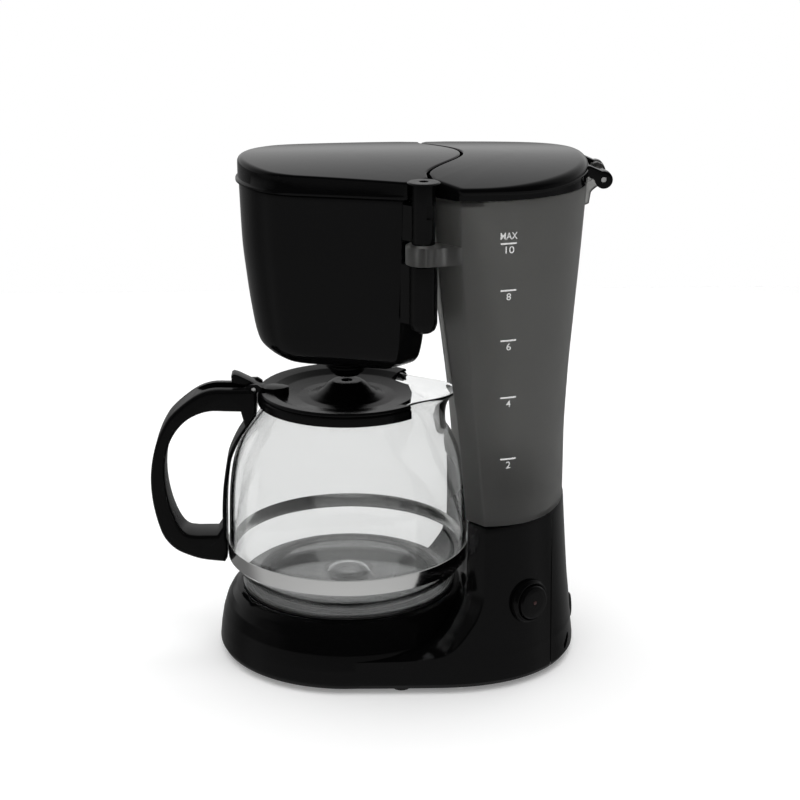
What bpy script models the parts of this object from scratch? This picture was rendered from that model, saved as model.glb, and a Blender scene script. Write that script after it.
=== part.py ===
"""Drip coffee maker: tank, swing-out basket, heated base and glass jug, as separate parts.

World frame: +Z up, -X towards the jug's handle, +X towards the tank's hinge, origin under the
middle of the bounding box on the surface that the feet stand on. Units are metres.
"""
import bpy
import bmesh
import math
from mathutils import Matrix, Vector

OBJECT_NAME = "drip_coffee_maker"

# ---------------------------------------------------------------- driving dimensions
MM = 0.001
JUG_X = -16.5 * MM            # jug axis, measured from the middle of the bounding box
GAP = 0.3 * MM                # air between touching pieces

FOOT_H = 2.7 * MM
BASE_Z = 3.0 * MM             # lower edge of the housing
PLATFORM_TOP = 39.8 * MM
COLUMN_TOP = 97.0 * MM
WALL = 2.4 * MM
SEAM_X = 115.5 * MM           # parting plane of the rear cover, from the jug axis
CABIN_CENTRE = 50.0 * MM      # centre of the rear outline, from the jug axis
ARC_START = 85.0 * MM         # where the side walls turn into the rounded back

PLATE_R = 62.5 * MM
PLATE_TOP = 42.2 * MM

TANK_BOTTOM = 98.2 * MM
TANK_TOP = 280.2 * MM
TANK_WALL = 2.2 * MM
FILL_FRONT = 72.0 * MM        # front edge of the fill opening, from the jug axis
LID_BOTTOM = 280.8 * MM
CROWN_TOP = 294.0 * MM
CROWN_R_ACROSS = 410.0 * MM
CROWN_R_ALONG = 5000.0 * MM
CROWN_X = 35.0 * MM           # highest point of the crown, from the jug axis
COVER_BOTTOM = 280.0 * MM

PIN_X = 40.6 * MM             # basket pivot, from the jug axis
PIN_Y = -67.0 * MM
PIN_R = 3.4 * MM
BARREL_R = 6.3 * MM
LUG_R = 9.6 * MM
LUG_Z = (246.5 * MM, 256.8 * MM)
LOWER_BARREL_Z = 209.0 * MM
BASKET_TOP = 279.6 * MM
BASKET_BOTTOM = 178.0 * MM

HINGE_X = 142.0 * MM          # tank lid hinge axis, from the jug axis
HINGE_Z = 281.5 * MM
KNUCKLE_R = 4.9 * MM

JUG_BOTTOM = 42.6 * MM
JUG_R = 69.7 * MM
GLASS_T = 2.2 * MM
BAND_Z = (58.0 * MM, 66.9 * MM)
COLLAR_Z = (150.3 * MM, 155.9 * MM)
LID_PIVOT_X = -53.5 * MM      # jug lid hinge, from the jug axis
LID_PIVOT_Z = 159.4 * MM
DOME_TOP = 162.4 * MM
PLUNGER_TIP = 165.0 * MM

HANDLE_W = 22.0 * MM
FRONT_POINTS = 7              # points across a hollowed front wall
GLAND_Z = 20.0 * MM
BUTTON_U = 100.9 * MM         # button centre, from the jug axis
BUTTON_Y = -60.7 * MM
BUTTON_Z = 49.6 * MM
BUTTON_TURN = math.radians(36.3)
BUTTON_TILT = math.radians(3.0)

VALVE_X = 98.0 * MM
BALL_Z = 83.2 * MM
RISER_X = 82.5 * MM
BASE_SCREWS = ((-54 * MM, 34 * MM), (-54 * MM, -34 * MM), (62 * MM, 66.5 * MM), (62 * MM, -66.5 * MM))
FEET = ((-58 * MM, 0.0), (29 * MM, 66.3 * MM), (29 * MM, -66.3 * MM), (104 * MM, 42 * MM),
        (104 * MM, -42 * MM))
SHELF_X = 58.0 * MM           # where the riser comes through the tank's shelf
RISER_PATH = ((RISER_X, 0, 84.0 * MM), (RISER_X, 0, 130 * MM), (RISER_X, 0, 170 * MM),
              (80 * MM, 0, 192 * MM), (75.4 * MM, 0, 216 * MM), (70.4 * MM, 0, 240 * MM),
              (65.0 * MM, 0, 259 * MM), (60.2 * MM, 0, 272 * MM), (SHELF_X + 0.5 * MM, 0, 279 * MM),
              (SHELF_X, 0, 284 * MM))

# Each row of the tables below is in millimetres, with x from the jug axis.
BASE_SECTIONS = (
    # height, half length, half width, half width at the jug axis, front corner, front hollow
    (3.2, 81.4, 75.6, 74.8, 3.0, 0.0),
    (6.1, 83.2, 77.4, 76.4, 3.0, 0.0),
    (19.2, 82.0, 77.0, 75.0, 3.0, 0.0),
    (20.3, 82.0, 76.9, 74.8, 32.0, 2.0),
    (23.4, 81.6, 76.6, 74.4, 52.5, 4.0),
    (29.0, 81.0, 76.3, 74.4, 60.5, 6.0),
    (36.7, 80.2, 76.0, 74.4, 66.5, 7.5),
    (46.1, 79.2, 75.6, 74.4, 72.0, 8.7),
    (59.0, 78.2, 75.1, 74.4, 75.4, 8.7),
    (97.0, 75.6, 73.6, 74.4, 75.8, 8.7),
)
SIDE_POINTS = 4
BASE_PROFILE = (
    # radius, height of the round platform's skin
    (0.0, 39.8), (63.8, 39.8), (66.2, 38.9), (69.4, 35.6), (72.0, 30.6), (74.3, 23.0),
    (75.8, 14.0), (76.6, 6.0), (74.9, 3.0), (0.0, 3.0),
)

REAR_POWER = 2.3              # how square the back of the tank and its lid is, 2 being an ellipse
TANK_SECTIONS = (
    # height, rear end, half width at the corner, corner, front edge offset (x, y), front hollow
    (98.2, 124.6, 71.0, 74.6, 9.6, 11.0, 9.0),
    (133.0, 124.6, 71.2, 71.4, 9.6, 11.5, 10.5),
    (170.0, 126.0, 71.6, 67.6, 10.4, 12.0, 13.6),
    (205.0, 128.6, 72.0, 63.8, 11.4, 12.5, 15.5),
    (240.0, 131.4, 72.3, 60.8, 12.4, 13.0, 14.0),
    (280.2, 134.2, 72.6, 59.2, 13.0, 13.6, 5.8),
)
COVER_SCREWS = ((58.3 * MM, 11.0 * MM), (58.3 * MM, -11.0 * MM))

NOSE_TIP = -59.8 * MM
NOSE_CORNER = (-36.0 * MM, 46.8 * MM)
COVER_SIDE_END = (32.0 * MM, 63.2 * MM)
COVER_SHOULDER = (43.5 * MM, 55.5 * MM)
BULGE_TIP = 64.0 * MM
TONGUE_ROOT = 43.0 * MM
TONGUE_HALF = 47.0 * MM
TONGUE_POINTS = 11

BASKET_SECTIONS = (
    # height, tip, corner (x, y), side end (x, y), rear (x, y)
    (181.6, -40.0, -27.0, 30.0, 22.0, 44.0, 33.0, 34.0),
    (184.6, -44.6, -29.4, 34.6, 24.6, 49.0, 37.4, 38.0),
    (190.0, -49.6, -31.6, 38.6, 26.6, 53.6, 39.8, 42.0),
    (206.0, -53.2, -33.0, 41.0, 27.8, 57.0, 41.8, 46.0),
    (227.0, -56.0, -34.4, 43.6, 28.6, 60.0, 42.0, 49.0),
    (247.0, -58.0, -35.4, 45.4, 29.2, 62.0, 42.0, 51.0),
    (279.6, -59.2, -36.0, 46.4, 29.6, 62.8, 42.0, 51.6),
)

GLASS_PROFILE = (
    (0.0, 45.2), (9.0, 45.2), (13.0, 42.8), (48.0, 42.6), (56.0, 44.4), (63.8, 49.6), (68.6, 57.0),
    (69.7, 67.0), (69.3, 88.0), (68.2, 104.0), (65.6, 118.0), (61.2, 129.0), (55.0, 138.0),
    (48.6, 147.0), (46.4, 152.0), (47.0, 155.4),
)
SPOUT_REACH = 16.5 * MM
SPOUT_HALF_ANGLE = math.radians(40.0)
SPOUT_START = 134.0 * MM

HANDLE_OUTER = (
    (-51.8, 160.0), (-66.0, 160.0), (-78.0, 159.8), (-88.0, 155.8), (-99.7, 146.4), (-105.4, 138.6),
    (-109.8, 128.6), (-112.6, 118.0), (-113.9, 107.6), (-113.8, 97.6), (-112.6, 88.0), (-110.2, 77.6),
    (-107.0, 69.6), (-101.2, 63.0), (-93.6, 59.0), (-85.0, 56.2), (-72.4, 54.6),
)
HANDLE_OPENING = (
    (-61.0, 146.8), (-68.0, 147.0), (-80.0, 147.0), (-91.0, 142.6), (-99.0, 134.4), (-103.6, 124.6),
    (-105.5, 113.4), (-105.2, 101.0), (-102.8, 88.6), (-98.6, 77.8), (-94.0, 72.4), (-88.0, 71.2),
    (-76.6, 71.2),
)

PARTS = None
CUTTERS = None


# ---------------------------------------------------------------- scene and materials
def clear_scene():
    for obj in list(bpy.data.objects):
        bpy.data.objects.remove(obj, do_unlink=True)


def make_collections():
    global PARTS, CUTTERS
    root = bpy.context.scene.collection
    PARTS = bpy.data.collections.new(OBJECT_NAME)
    CUTTERS = bpy.data.collections.new("cutters")
    root.children.link(PARTS)
    root.children.link(CUTTERS)


def material(name, colour, roughness, metallic=0.0, transmission=0.0, alpha=1.0):
    mat = bpy.data.materials.get(name)
    if mat:
        return mat
    mat = bpy.data.materials.new(name)
    mat.use_nodes = True
    shader = mat.node_tree.nodes["Principled BSDF"]
    shader.inputs["Base Color"].default_value = (*colour, 1.0)
    shader.inputs["Roughness"].default_value = roughness
    shader.inputs["Metallic"].default_value = metallic
    shader.inputs["Transmission Weight"].default_value = transmission
    shader.inputs["Alpha"].default_value = alpha
    mat.diffuse_color = (*colour, alpha)
    return mat


def gloss_black():
    return material("gloss_black", (0.010, 0.010, 0.011), 0.12)


def satin_black():
    return material("satin_black", (0.016, 0.016, 0.017), 0.35)


def smoky_clear():
    return material("smoky_clear", (0.10, 0.10, 0.10), 0.08, transmission=0.8, alpha=0.5)


def clear_glass():
    return material("clear_glass", (0.95, 0.97, 0.97), 0.02, transmission=1.0, alpha=0.3)


def steel():
    return material("steel", (0.72, 0.72, 0.71), 0.22, metallic=1.0)


def coated_steel():
    return material("coated_steel", (0.03, 0.03, 0.03), 0.4, metallic=0.3)


def aluminium():
    return material("aluminium", (0.70, 0.70, 0.70), 0.45, metallic=1.0)


def rubber():
    return material("rubber", (0.03, 0.03, 0.03), 0.8)


def silicone():
    return material("silicone", (0.72, 0.72, 0.70), 0.5)


def white_plastic():
    return material("white_plastic", (0.75, 0.75, 0.73), 0.4)


def lens_red():
    return material("lens_red", (0.35, 0.03, 0.02), 0.2)


# ---------------------------------------------------------------- making objects
def at(x, y, z):
    """World place of a point given from the jug axis."""
    return Vector((JUG_X + x, y, z))


def link(obj, cutter=False):
    (CUTTERS if cutter else PARTS).objects.link(obj)
    if cutter:
        obj.hide_render = True
        obj.display_type = "WIRE"
    return obj


def mesh_object(name, bm, mat=None, origin=(0, 0, 0), cutter=False, is_open=False):
    """An object from a bmesh whose points are in world space, with its origin at a point."""
    origin = Vector(origin)
    bmesh.ops.translate(bm, verts=bm.verts, vec=-origin)
    if not is_open:
        bmesh.ops.recalc_face_normals(bm, faces=bm.faces)
    mesh = bpy.data.meshes.new(name)
    bm.to_mesh(mesh)
    bm.free()
    obj = bpy.data.objects.new(name, mesh)
    obj.location = origin
    if mat:
        mesh.materials.append(mat)
    return link(obj, cutter)


def shade(obj, angle=40.0):
    obj.data.shade_smooth()
    obj.data.set_sharp_from_angle(angle=math.radians(angle))
    return obj


def cylinder(name, radius, z_low, z_high, x, y, mat=None, segments=32, top_radius=None, cutter=False):
    """Upright cylinder or cone between two heights."""
    bm = bmesh.new()
    bmesh.ops.create_cone(
        bm, cap_ends=True, segments=segments, radius1=radius,
        radius2=radius if top_radius is None else top_radius, depth=z_high - z_low,
        matrix=Matrix.Translation(at(x, y, 0.5 * (z_low + z_high))))
    return mesh_object(name, bm, mat, at(x, y, z_low), cutter)


def rod(name, radius, start, end, mat=None, segments=20, cutter=False):
    """Cylinder between two points."""
    start, end = Vector(start), Vector(end)
    along = end - start
    turn = Vector((0, 0, 1)).rotation_difference(along.normalized()).to_matrix().to_4x4()
    bm = bmesh.new()
    bmesh.ops.create_cone(
        bm, cap_ends=True, segments=segments, radius1=radius, radius2=radius, depth=along.length,
        matrix=Matrix.Translation((start + end) / 2) @ turn)
    return mesh_object(name, bm, mat, start, cutter)


def box(name, low, high, mat=None, cutter=False):
    low, high = Vector(low), Vector(high)
    size = high - low
    place = Matrix.Translation((low + high) / 2) @ Matrix.Diagonal((*size, 1.0))
    bm = bmesh.new()
    bmesh.ops.create_cube(bm, size=1.0, matrix=place)
    return mesh_object(name, bm, mat, (low + high) / 2, cutter)


def turned(name, profile, x, y, mat=None, steps=32, cutter=False, closed=False):
    """Turned solid: (radius, height) points from the top, down the outer side, to the bottom."""
    mesh = bpy.data.meshes.new(name)
    count = len(profile)
    edges = [(i, i + 1) for i in range(count - 1)]
    if closed:
        edges.append((count - 1, 0))
    mesh.from_pydata([(r, 0, z) for r, z in profile], edges, [])
    obj = bpy.data.objects.new(name, mesh)
    obj.location = at(x, y, 0)
    screw = obj.modifiers.new("turn", "SCREW")
    screw.steps = steps
    screw.render_steps = steps
    screw.use_merge_vertices = True
    screw.merge_threshold = 0.00001
    screw.use_smooth_shade = True
    if mat:
        mesh.materials.append(mat)
    return link(obj, cutter)


def tube(name, points, radius, mat, sides=3, cyclic=False):
    """Round tube along points given from the jug axis."""
    curve = bpy.data.curves.new(name, "CURVE")
    curve.dimensions = "3D"
    curve.bevel_depth = radius
    curve.bevel_resolution = sides
    curve.use_fill_caps = True
    spline = curve.splines.new("POLY")
    spline.points.add(len(points) - 1)
    for point, co in zip(spline.points, points):
        point.co = (*at(*co), 1.0)
    spline.use_cyclic_u = cyclic
    curve.materials.append(mat)
    return link(bpy.data.objects.new(name, curve))


def flat_outline(name, outline, thickness, mat=None):
    """Curve object: a flat outline in its own XY plane, thickened both ways."""
    curve = bpy.data.curves.new(name, "CURVE")
    curve.dimensions = "2D"
    curve.fill_mode = "BOTH"
    curve.extrude = thickness / 2
    spline = curve.splines.new("POLY")
    spline.points.add(len(outline) - 1)
    for point, (a, b) in zip(spline.points, outline):
        point.co = (a, b, 0.0, 1.0)
    spline.use_cyclic_u = True
    if mat:
        curve.materials.append(mat)
    return link(bpy.data.objects.new(name, curve))


def curve_to_mesh(obj, cutter=False):
    """The same piece as a mesh with its caps welded, ready for a Boolean."""
    bpy.context.view_layer.update()
    graph = bpy.context.evaluated_depsgraph_get()
    mesh = bpy.data.meshes.new_from_object(obj.evaluated_get(graph))
    name = obj.name
    place = obj.matrix_world.copy()
    bpy.data.objects.remove(obj, do_unlink=True)
    bm = bmesh.new()
    bm.from_mesh(mesh)
    bmesh.ops.remove_doubles(bm, verts=bm.verts, dist=0.00001)
    bmesh.ops.dissolve_limit(bm, angle_limit=math.radians(0.5), verts=bm.verts, edges=bm.edges)
    bmesh.ops.recalc_face_normals(bm, faces=bm.faces)
    bm.to_mesh(mesh)
    bm.free()
    solid = bpy.data.objects.new(name, mesh)
    solid.matrix_world = place
    return link(solid, cutter)


def plan_solid(name, outline, z_low, z_high, mat=None, cutter=False):
    """Upright solid from a plan outline given from the jug axis."""
    obj = flat_outline(name, outline, z_high - z_low, mat)
    obj.location = at(0, 0, 0.5 * (z_low + z_high))
    return curve_to_mesh(obj, cutter)


def side_solid(name, outline, y_low, y_high, mat=None, cutter=False):
    """Solid from an (x, z) side outline, reaching between two y values."""
    obj = flat_outline(name, outline, y_high - y_low, mat)
    obj.rotation_euler = (math.radians(90.0), 0, 0)
    obj.location = at(0, 0.5 * (y_low + y_high), 0)
    return curve_to_mesh(obj, cutter)


def loft(name, rings, mat=None, cutter=False):
    """Closed skin through rings of equally many points, listed from the bottom up."""
    bm = bmesh.new()
    rows = [[bm.verts.new(at(*p)) for p in ring] for ring in rings]
    count = len(rows[0])
    for low, high in zip(rows, rows[1:]):
        for i in range(count):
            j = (i + 1) % count
            bm.faces.new((low[i], low[j], high[j], high[i]))
    bm.faces.new(list(reversed(rows[0])))
    bm.faces.new(rows[-1])
    return mesh_object(name, bm, mat, at(0, 0, 0), cutter)


def boolean(obj, other, operation):
    mod = obj.modifiers.new(operation.lower(), "BOOLEAN")
    mod.operation = operation
    mod.solver = "EXACT"
    mod.object = other
    other.hide_render = True
    other.display_type = "WIRE"
    if other.name in PARTS.objects:
        PARTS.objects.unlink(other)
        CUTTERS.objects.link(other)
    return obj


def cut(obj, *others):
    for other in others:
        boolean(obj, other, "DIFFERENCE")
    return obj


def add(obj, *others):
    for other in others:
        boolean(obj, other, "UNION")
    return obj


def settle(obj):
    """Replaces an object's modifiers by their result, as one mesh."""
    bpy.context.view_layer.update()
    graph = bpy.context.evaluated_depsgraph_get()
    mesh = bpy.data.meshes.new_from_object(obj.evaluated_get(graph))
    obj.modifiers.clear()
    obj.data = mesh
    return obj


def smooth_path(points, steps):
    """Catmull-Rom curve through points, with a number of steps to each stretch."""
    pts = [Vector(p) for p in points]
    pts = [2 * pts[0] - pts[1]] + pts + [2 * pts[-1] - pts[-2]]
    out = []
    for a, b, c, d in zip(pts, pts[1:], pts[2:], pts[3:]):
        for k in range(steps):
            t = k / steps
            out.append(0.5 * (2 * b + (c - a) * t + (2 * a - 5 * b + 4 * c - d) * t ** 2
                              + (3 * b - a - 3 * c + d) * t ** 3))
    out.append(pts[-2])
    return out


# ---------------------------------------------------------------- outlines
def rear_arc(centre, half_x, half_y, power, start_x, count):
    """Superellipse points from the near side, round the back, to the far side."""
    cos_start = (start_x - centre) / half_x
    start = math.acos(math.copysign(abs(cos_start) ** (power / 2), cos_start))
    points = []
    for i in range(count):
        angle = -start + 2 * start * i / (count - 1)
        c, s = math.cos(angle), math.sin(angle)
        points.append((centre + half_x * math.copysign(abs(c) ** (2 / power), c),
                       half_y * math.copysign(abs(s) ** (2 / power), s)))
    return points


def arc_half_width(centre, half_x, half_y, power, x):
    return half_y * (1 - abs((x - centre) / half_x) ** power) ** (1 / power)


def cabin_outline(centre, half_x, half_y, power, corner_x, chamfer, scoop, stretch=()):
    """Rounded back, chamfered front corners and a hollowed front wall.

    The stretch holds (x, half width) points of the side wall ahead of the rear arc, so that
    outlines with different corners still line up behind it.
    """
    stretch = list(stretch)
    arc = rear_arc(centre, half_x, half_y, power, ARC_START if stretch else corner_x, 17)
    near = [(x, -y) for x, y in stretch]
    corner_y = stretch[0][1] if stretch else arc[-1][1]
    edge_x = corner_x - chamfer[0]
    edge_y = corner_y - chamfer[1]
    front = []
    for i in range(FRONT_POINTS):
        y = edge_y * (1 - 2 * i / (FRONT_POINTS - 1))
        front.append((edge_x + scoop * (1 - (y / edge_y) ** 2), y))
    return near + arc + stretch[::-1] + front


def inset(outline, distance):
    """Outline moved inwards by a distance, for counter-clockwise points."""
    count = len(outline)
    moved = []
    for i in range(count):
        before = Vector(outline[i - 1])
        here = Vector(outline[i])
        after = Vector(outline[(i + 1) % count])
        n1 = Vector((-(here - before).y, (here - before).x)).normalized()
        n2 = Vector((-(after - here).y, (after - here).x)).normalized()
        mean = (n1 + n2).normalized()
        moved.append(tuple(here + mean * (distance / max(mean.dot(n1), 0.4))))
    return moved


def lifted(outline, z):
    return [(x, y, z) for x, y in outline]


def crown_height(x, y):
    """Top surface of the cover and lids, with x from the jug axis."""
    return CROWN_TOP - y * y / (2 * CROWN_R_ACROSS) - (x - CROWN_X) ** 2 / (2 * CROWN_R_ALONG)


def crown_cutter(name, drop):
    """Everything above the crowned surface, lowered by a distance."""
    low_x, high_x, half_y, top = -75 * MM, 150 * MM, 90 * MM, 310 * MM
    bm = bmesh.new()
    bmesh.ops.create_grid(bm, x_segments=7, y_segments=8, size=1.0)
    for v in bm.verts:
        x = low_x + (v.co.x + 1) / 2 * (high_x - low_x)
        y = v.co.y * half_y
        v.co = at(x, y, crown_height(x, y) - drop)
    lifted_part = bmesh.ops.extrude_face_region(bm, geom=bm.faces[:])["geom"]
    for v in lifted_part:
        if isinstance(v, bmesh.types.BMVert):
            v.co.z = top
    return mesh_object(name, bm, cutter=True)


# ---------------------------------------------------------------- base
def base_section(row, shrink):
    z, half_x, half_y, front_y, corner, scoop = (v * MM for v in row)
    stretch = []
    for i in range(SIDE_POINTS):
        x = corner + (ARC_START - corner) * i / SIDE_POINTS
        if x > CABIN_CENTRE:
            y = arc_half_width(CABIN_CENTRE, half_x, half_y, 2.2, x)
        else:
            y = half_y + (front_y - half_y) * (1 - x / CABIN_CENTRE) ** 2
        stretch.append((x, y))
    outline = cabin_outline(CABIN_CENTRE, half_x, half_y, 2.2, corner, (10 * MM, 11 * MM), scoop, stretch)
    return inset(outline, shrink) if shrink else outline


def column_skin(name, shrink, low_cut, high_cut):
    rings = []
    for row in BASE_SECTIONS:
        z = row[0] * MM
        rings.append(lifted(base_section(row, shrink), z))
    rings[0] = [(x, y, low_cut) for x, y, z in rings[0]]
    rings[-1] = [(x, y, high_cut) for x, y, z in rings[-1]]
    return loft(name, rings, cutter=True)


def base_shell(name, keep_low, keep_high):
    """The base's skin between two parting planes."""
    profile = [(r * MM, z * MM) for r, z in BASE_PROFILE]
    obj = turned(name, profile, 0, 0, gloss_black(), 44)
    add(obj, column_skin(name + "_column", 0.0, BASE_SECTIONS[0][0] * MM, COLUMN_TOP))
    hollow = turned(name + "_hollow", [
        (0.0, PLATFORM_TOP - WALL), (62.0 * MM, PLATFORM_TOP - WALL), (66.8 * MM, 34.4 * MM),
        (71.6 * MM, 23.0 * MM), (73.2 * MM, 14.0 * MM), (74.0 * MM, 6.0 * MM),
        (72.4 * MM, 1.0 * MM), (0.0, 1.0 * MM)], 0, 0, steps=44, cutter=True)
    column_hollow = column_skin(name + "_column_hollow", WALL, 0.6 * MM, COLUMN_TOP - WALL)
    cut(obj, hollow, column_hollow)
    cut(obj, plan_parting(name + "_parting", keep_low, keep_high))
    return settle(obj)


def plan_parting(name, keep_low, keep_high):
    """Block that removes what is outside two parting planes."""
    far = 200 * MM
    if keep_high is not None:
        return box(name, at(keep_high, -far, -far), at(far, far, far), cutter=True)
    return box(name, at(-far, -far, -far), at(keep_low, far, far), cutter=True)


def button_frame(depth):
    """Point on the button's axis, a distance outwards from the side skin."""
    level = math.cos(BUTTON_TILT) * depth
    return Vector((JUG_X + BUTTON_U + math.sin(BUTTON_TURN) * level,
                   BUTTON_Y - math.cos(BUTTON_TURN) * level, BUTTON_Z + math.sin(BUTTON_TILT) * depth))


def make_base():
    housing = base_shell("base_housing", None, SEAM_X - GAP / 2)
    cut(housing,
        cylinder("plate_opening", 57.0 * MM, 30 * MM, 50 * MM, 0, 0, segments=48, cutter=True),
        rod("button_opening", 10.8 * MM, button_frame(-15 * MM), button_frame(12 * MM),
            segments=32, cutter=True),
        cylinder("valve_opening", 8.2 * MM, 90 * MM, 100 * MM, VALVE_X, 0, cutter=True),
        cylinder("riser_opening", 5.4 * MM, 90 * MM, 100 * MM, RISER_X, 0, cutter=True))
    for i, (x, y) in enumerate(BASE_SCREWS):
        at_front = x < 0
        top = 36.0 * MM if at_front else 17.4 * MM
        add(housing, cylinder(f"screw_post_{i + 1}", 4.5 * MM, 5.6 * MM, top, x, y,
                              segments=16, cutter=True))
        if not at_front:
            low_y, high_y = sorted((math.copysign(68.4 * MM, y), math.copysign(75.4 * MM, y)))
            add(housing, box(f"screw_rib_{i + 1}", at(x - 1.2 * MM, low_y, 7 * MM),
                             at(x + 1.2 * MM, high_y, 16.8 * MM), cutter=True))
        cut(housing, cylinder(f"screw_post_bore_{i + 1}", 1.7 * MM, 1 * MM, 15 * MM, x, y,
                              segments=16, cutter=True))
    shade(settle(housing), 30)

    rear = base_shell("rear_cover", SEAM_X + GAP / 2, None)
    cut(rear,
        rod("gland_opening", 5.4 * MM, at(100 * MM, 0, GLAND_Z), at(150 * MM, 0, GLAND_Z),
            segments=24, cutter=True),
        rod("gland_recess", 8.0 * MM, at(130.9 * MM, 0, GLAND_Z), at(150 * MM, 0, GLAND_Z),
            segments=32, cutter=True))
    shade(settle(rear), 30)

    outline = inset(base_section((3.0, 81.4, 75.6, 74.8, 3.0, 0.0), 0.0), WALL + 1.2 * MM)
    cover = plan_solid("base_cover", outline, BASE_Z, BASE_Z + 2.2 * MM, satin_black())
    add(cover, cylinder("cover_round", 71.0 * MM, BASE_Z, BASE_Z + 2.2 * MM, 0, 0,
                        segments=44, cutter=True))
    for i, (x, y) in enumerate(BASE_SCREWS):
        cut(cover, cylinder(f"cover_hole_{i + 1}", 2.1 * MM, 0, 10 * MM, x, y, segments=16, cutter=True))
    settle(cover)


def make_feet_and_screws():
    for i, (x, y) in enumerate(FEET):
        turned(f"foot_{i + 1}", [(0, FOOT_H), (5.6 * MM, FOOT_H), (5.6 * MM, 0.5 * MM),
                                 (5.1 * MM, 0), (0, 0)], x, y, rubber(), 16)
    for i, (x, y) in enumerate(BASE_SCREWS):
        head = BASE_Z - GAP
        turned(f"base_screw_{i + 1}", [(0, 14 * MM), (1.4 * MM, 14 * MM), (1.4 * MM, head),
                                       (3.2 * MM, head), (3.2 * MM, head - 1.6 * MM),
                                       (0, head - 1.6 * MM)], x, y, steel(), 16)


def make_plate_and_heater():
    turned("warming_plate", [
        (0, PLATE_TOP), (PLATE_R - 0.6 * MM, PLATE_TOP), (PLATE_R, PLATE_TOP - 0.5 * MM),
        (PLATE_R, PLATE_TOP - 1.2 * MM), (55.6 * MM, PLATE_TOP - 1.2 * MM),
        (55.6 * MM, 36.0 * MM), (54.4 * MM, 36.0 * MM), (54.4 * MM, PLATE_TOP - 1.2 * MM),
        (0, PLATE_TOP - 1.2 * MM)], 0, 0, coated_steel(), 40)
    turned("plate_seal", [(62.8 * MM, 40.7 * MM), (62.8 * MM, 40.1 * MM), (57.4 * MM, 40.1 * MM),
                          (57.4 * MM, 40.7 * MM)], 0, 0, rubber(), 32, closed=True)
    heater_z, tube_z, bend_r, leg = 36.4 * MM, 28.0 * MM, 34.0 * MM, 36.0 * MM

    def horseshoe(z, radius, reach):
        points = [(reach, radius, z), (reach * 0.5, radius, z)]
        for k in range(9):
            angle = math.radians(90 + 180 * k / 8)
            points.append((radius * math.cos(angle), radius * math.sin(angle), z))
        return points + [(reach * 0.5, -radius, z), (reach, -radius, z)]

    tube("heater_element", horseshoe(heater_z, bend_r, leg), 4.2 * MM, aluminium(), 2)
    tube("boiler_tube", horseshoe(tube_z, bend_r, leg + 6 * MM), 3.4 * MM, aluminium(), 1)
    clamp = box("heater_clamp", at(-39 * MM, -6 * MM, 21.4 * MM), at(39 * MM, 6 * MM, 23.8 * MM),
                aluminium())
    clamp.rotation_euler = (0, 0, math.radians(90.0))
    cut(clamp, cylinder("clamp_hole", 2.3 * MM, 15 * MM, 30 * MM, 0, 0, segments=16, cutter=True))
    turned("clamp_screw", [(0, 40.6 * MM), (2.0 * MM, 40.6 * MM), (2.0 * MM, 21.1 * MM),
                           (4.2 * MM, 21.1 * MM), (4.2 * MM, 18.2 * MM), (0, 18.2 * MM)],
           0, 0, steel(), 14)
    turned("thermostat", [(0, 24.2 * MM), (7.5 * MM, 24.2 * MM), (7.5 * MM, 16.5 * MM),
                          (4.0 * MM, 16.5 * MM), (4.0 * MM, 14.0 * MM), (0, 14.0 * MM)],
           -bend_r, 0, white_plastic(), 16)
    rod("thermal_fuse", 2.2 * MM, at(8 * MM, -bend_r, 21.8 * MM), at(26 * MM, -bend_r, 21.8 * MM),
        steel(), 16)
    return leg + 6 * MM, bend_r, tube_z


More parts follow.
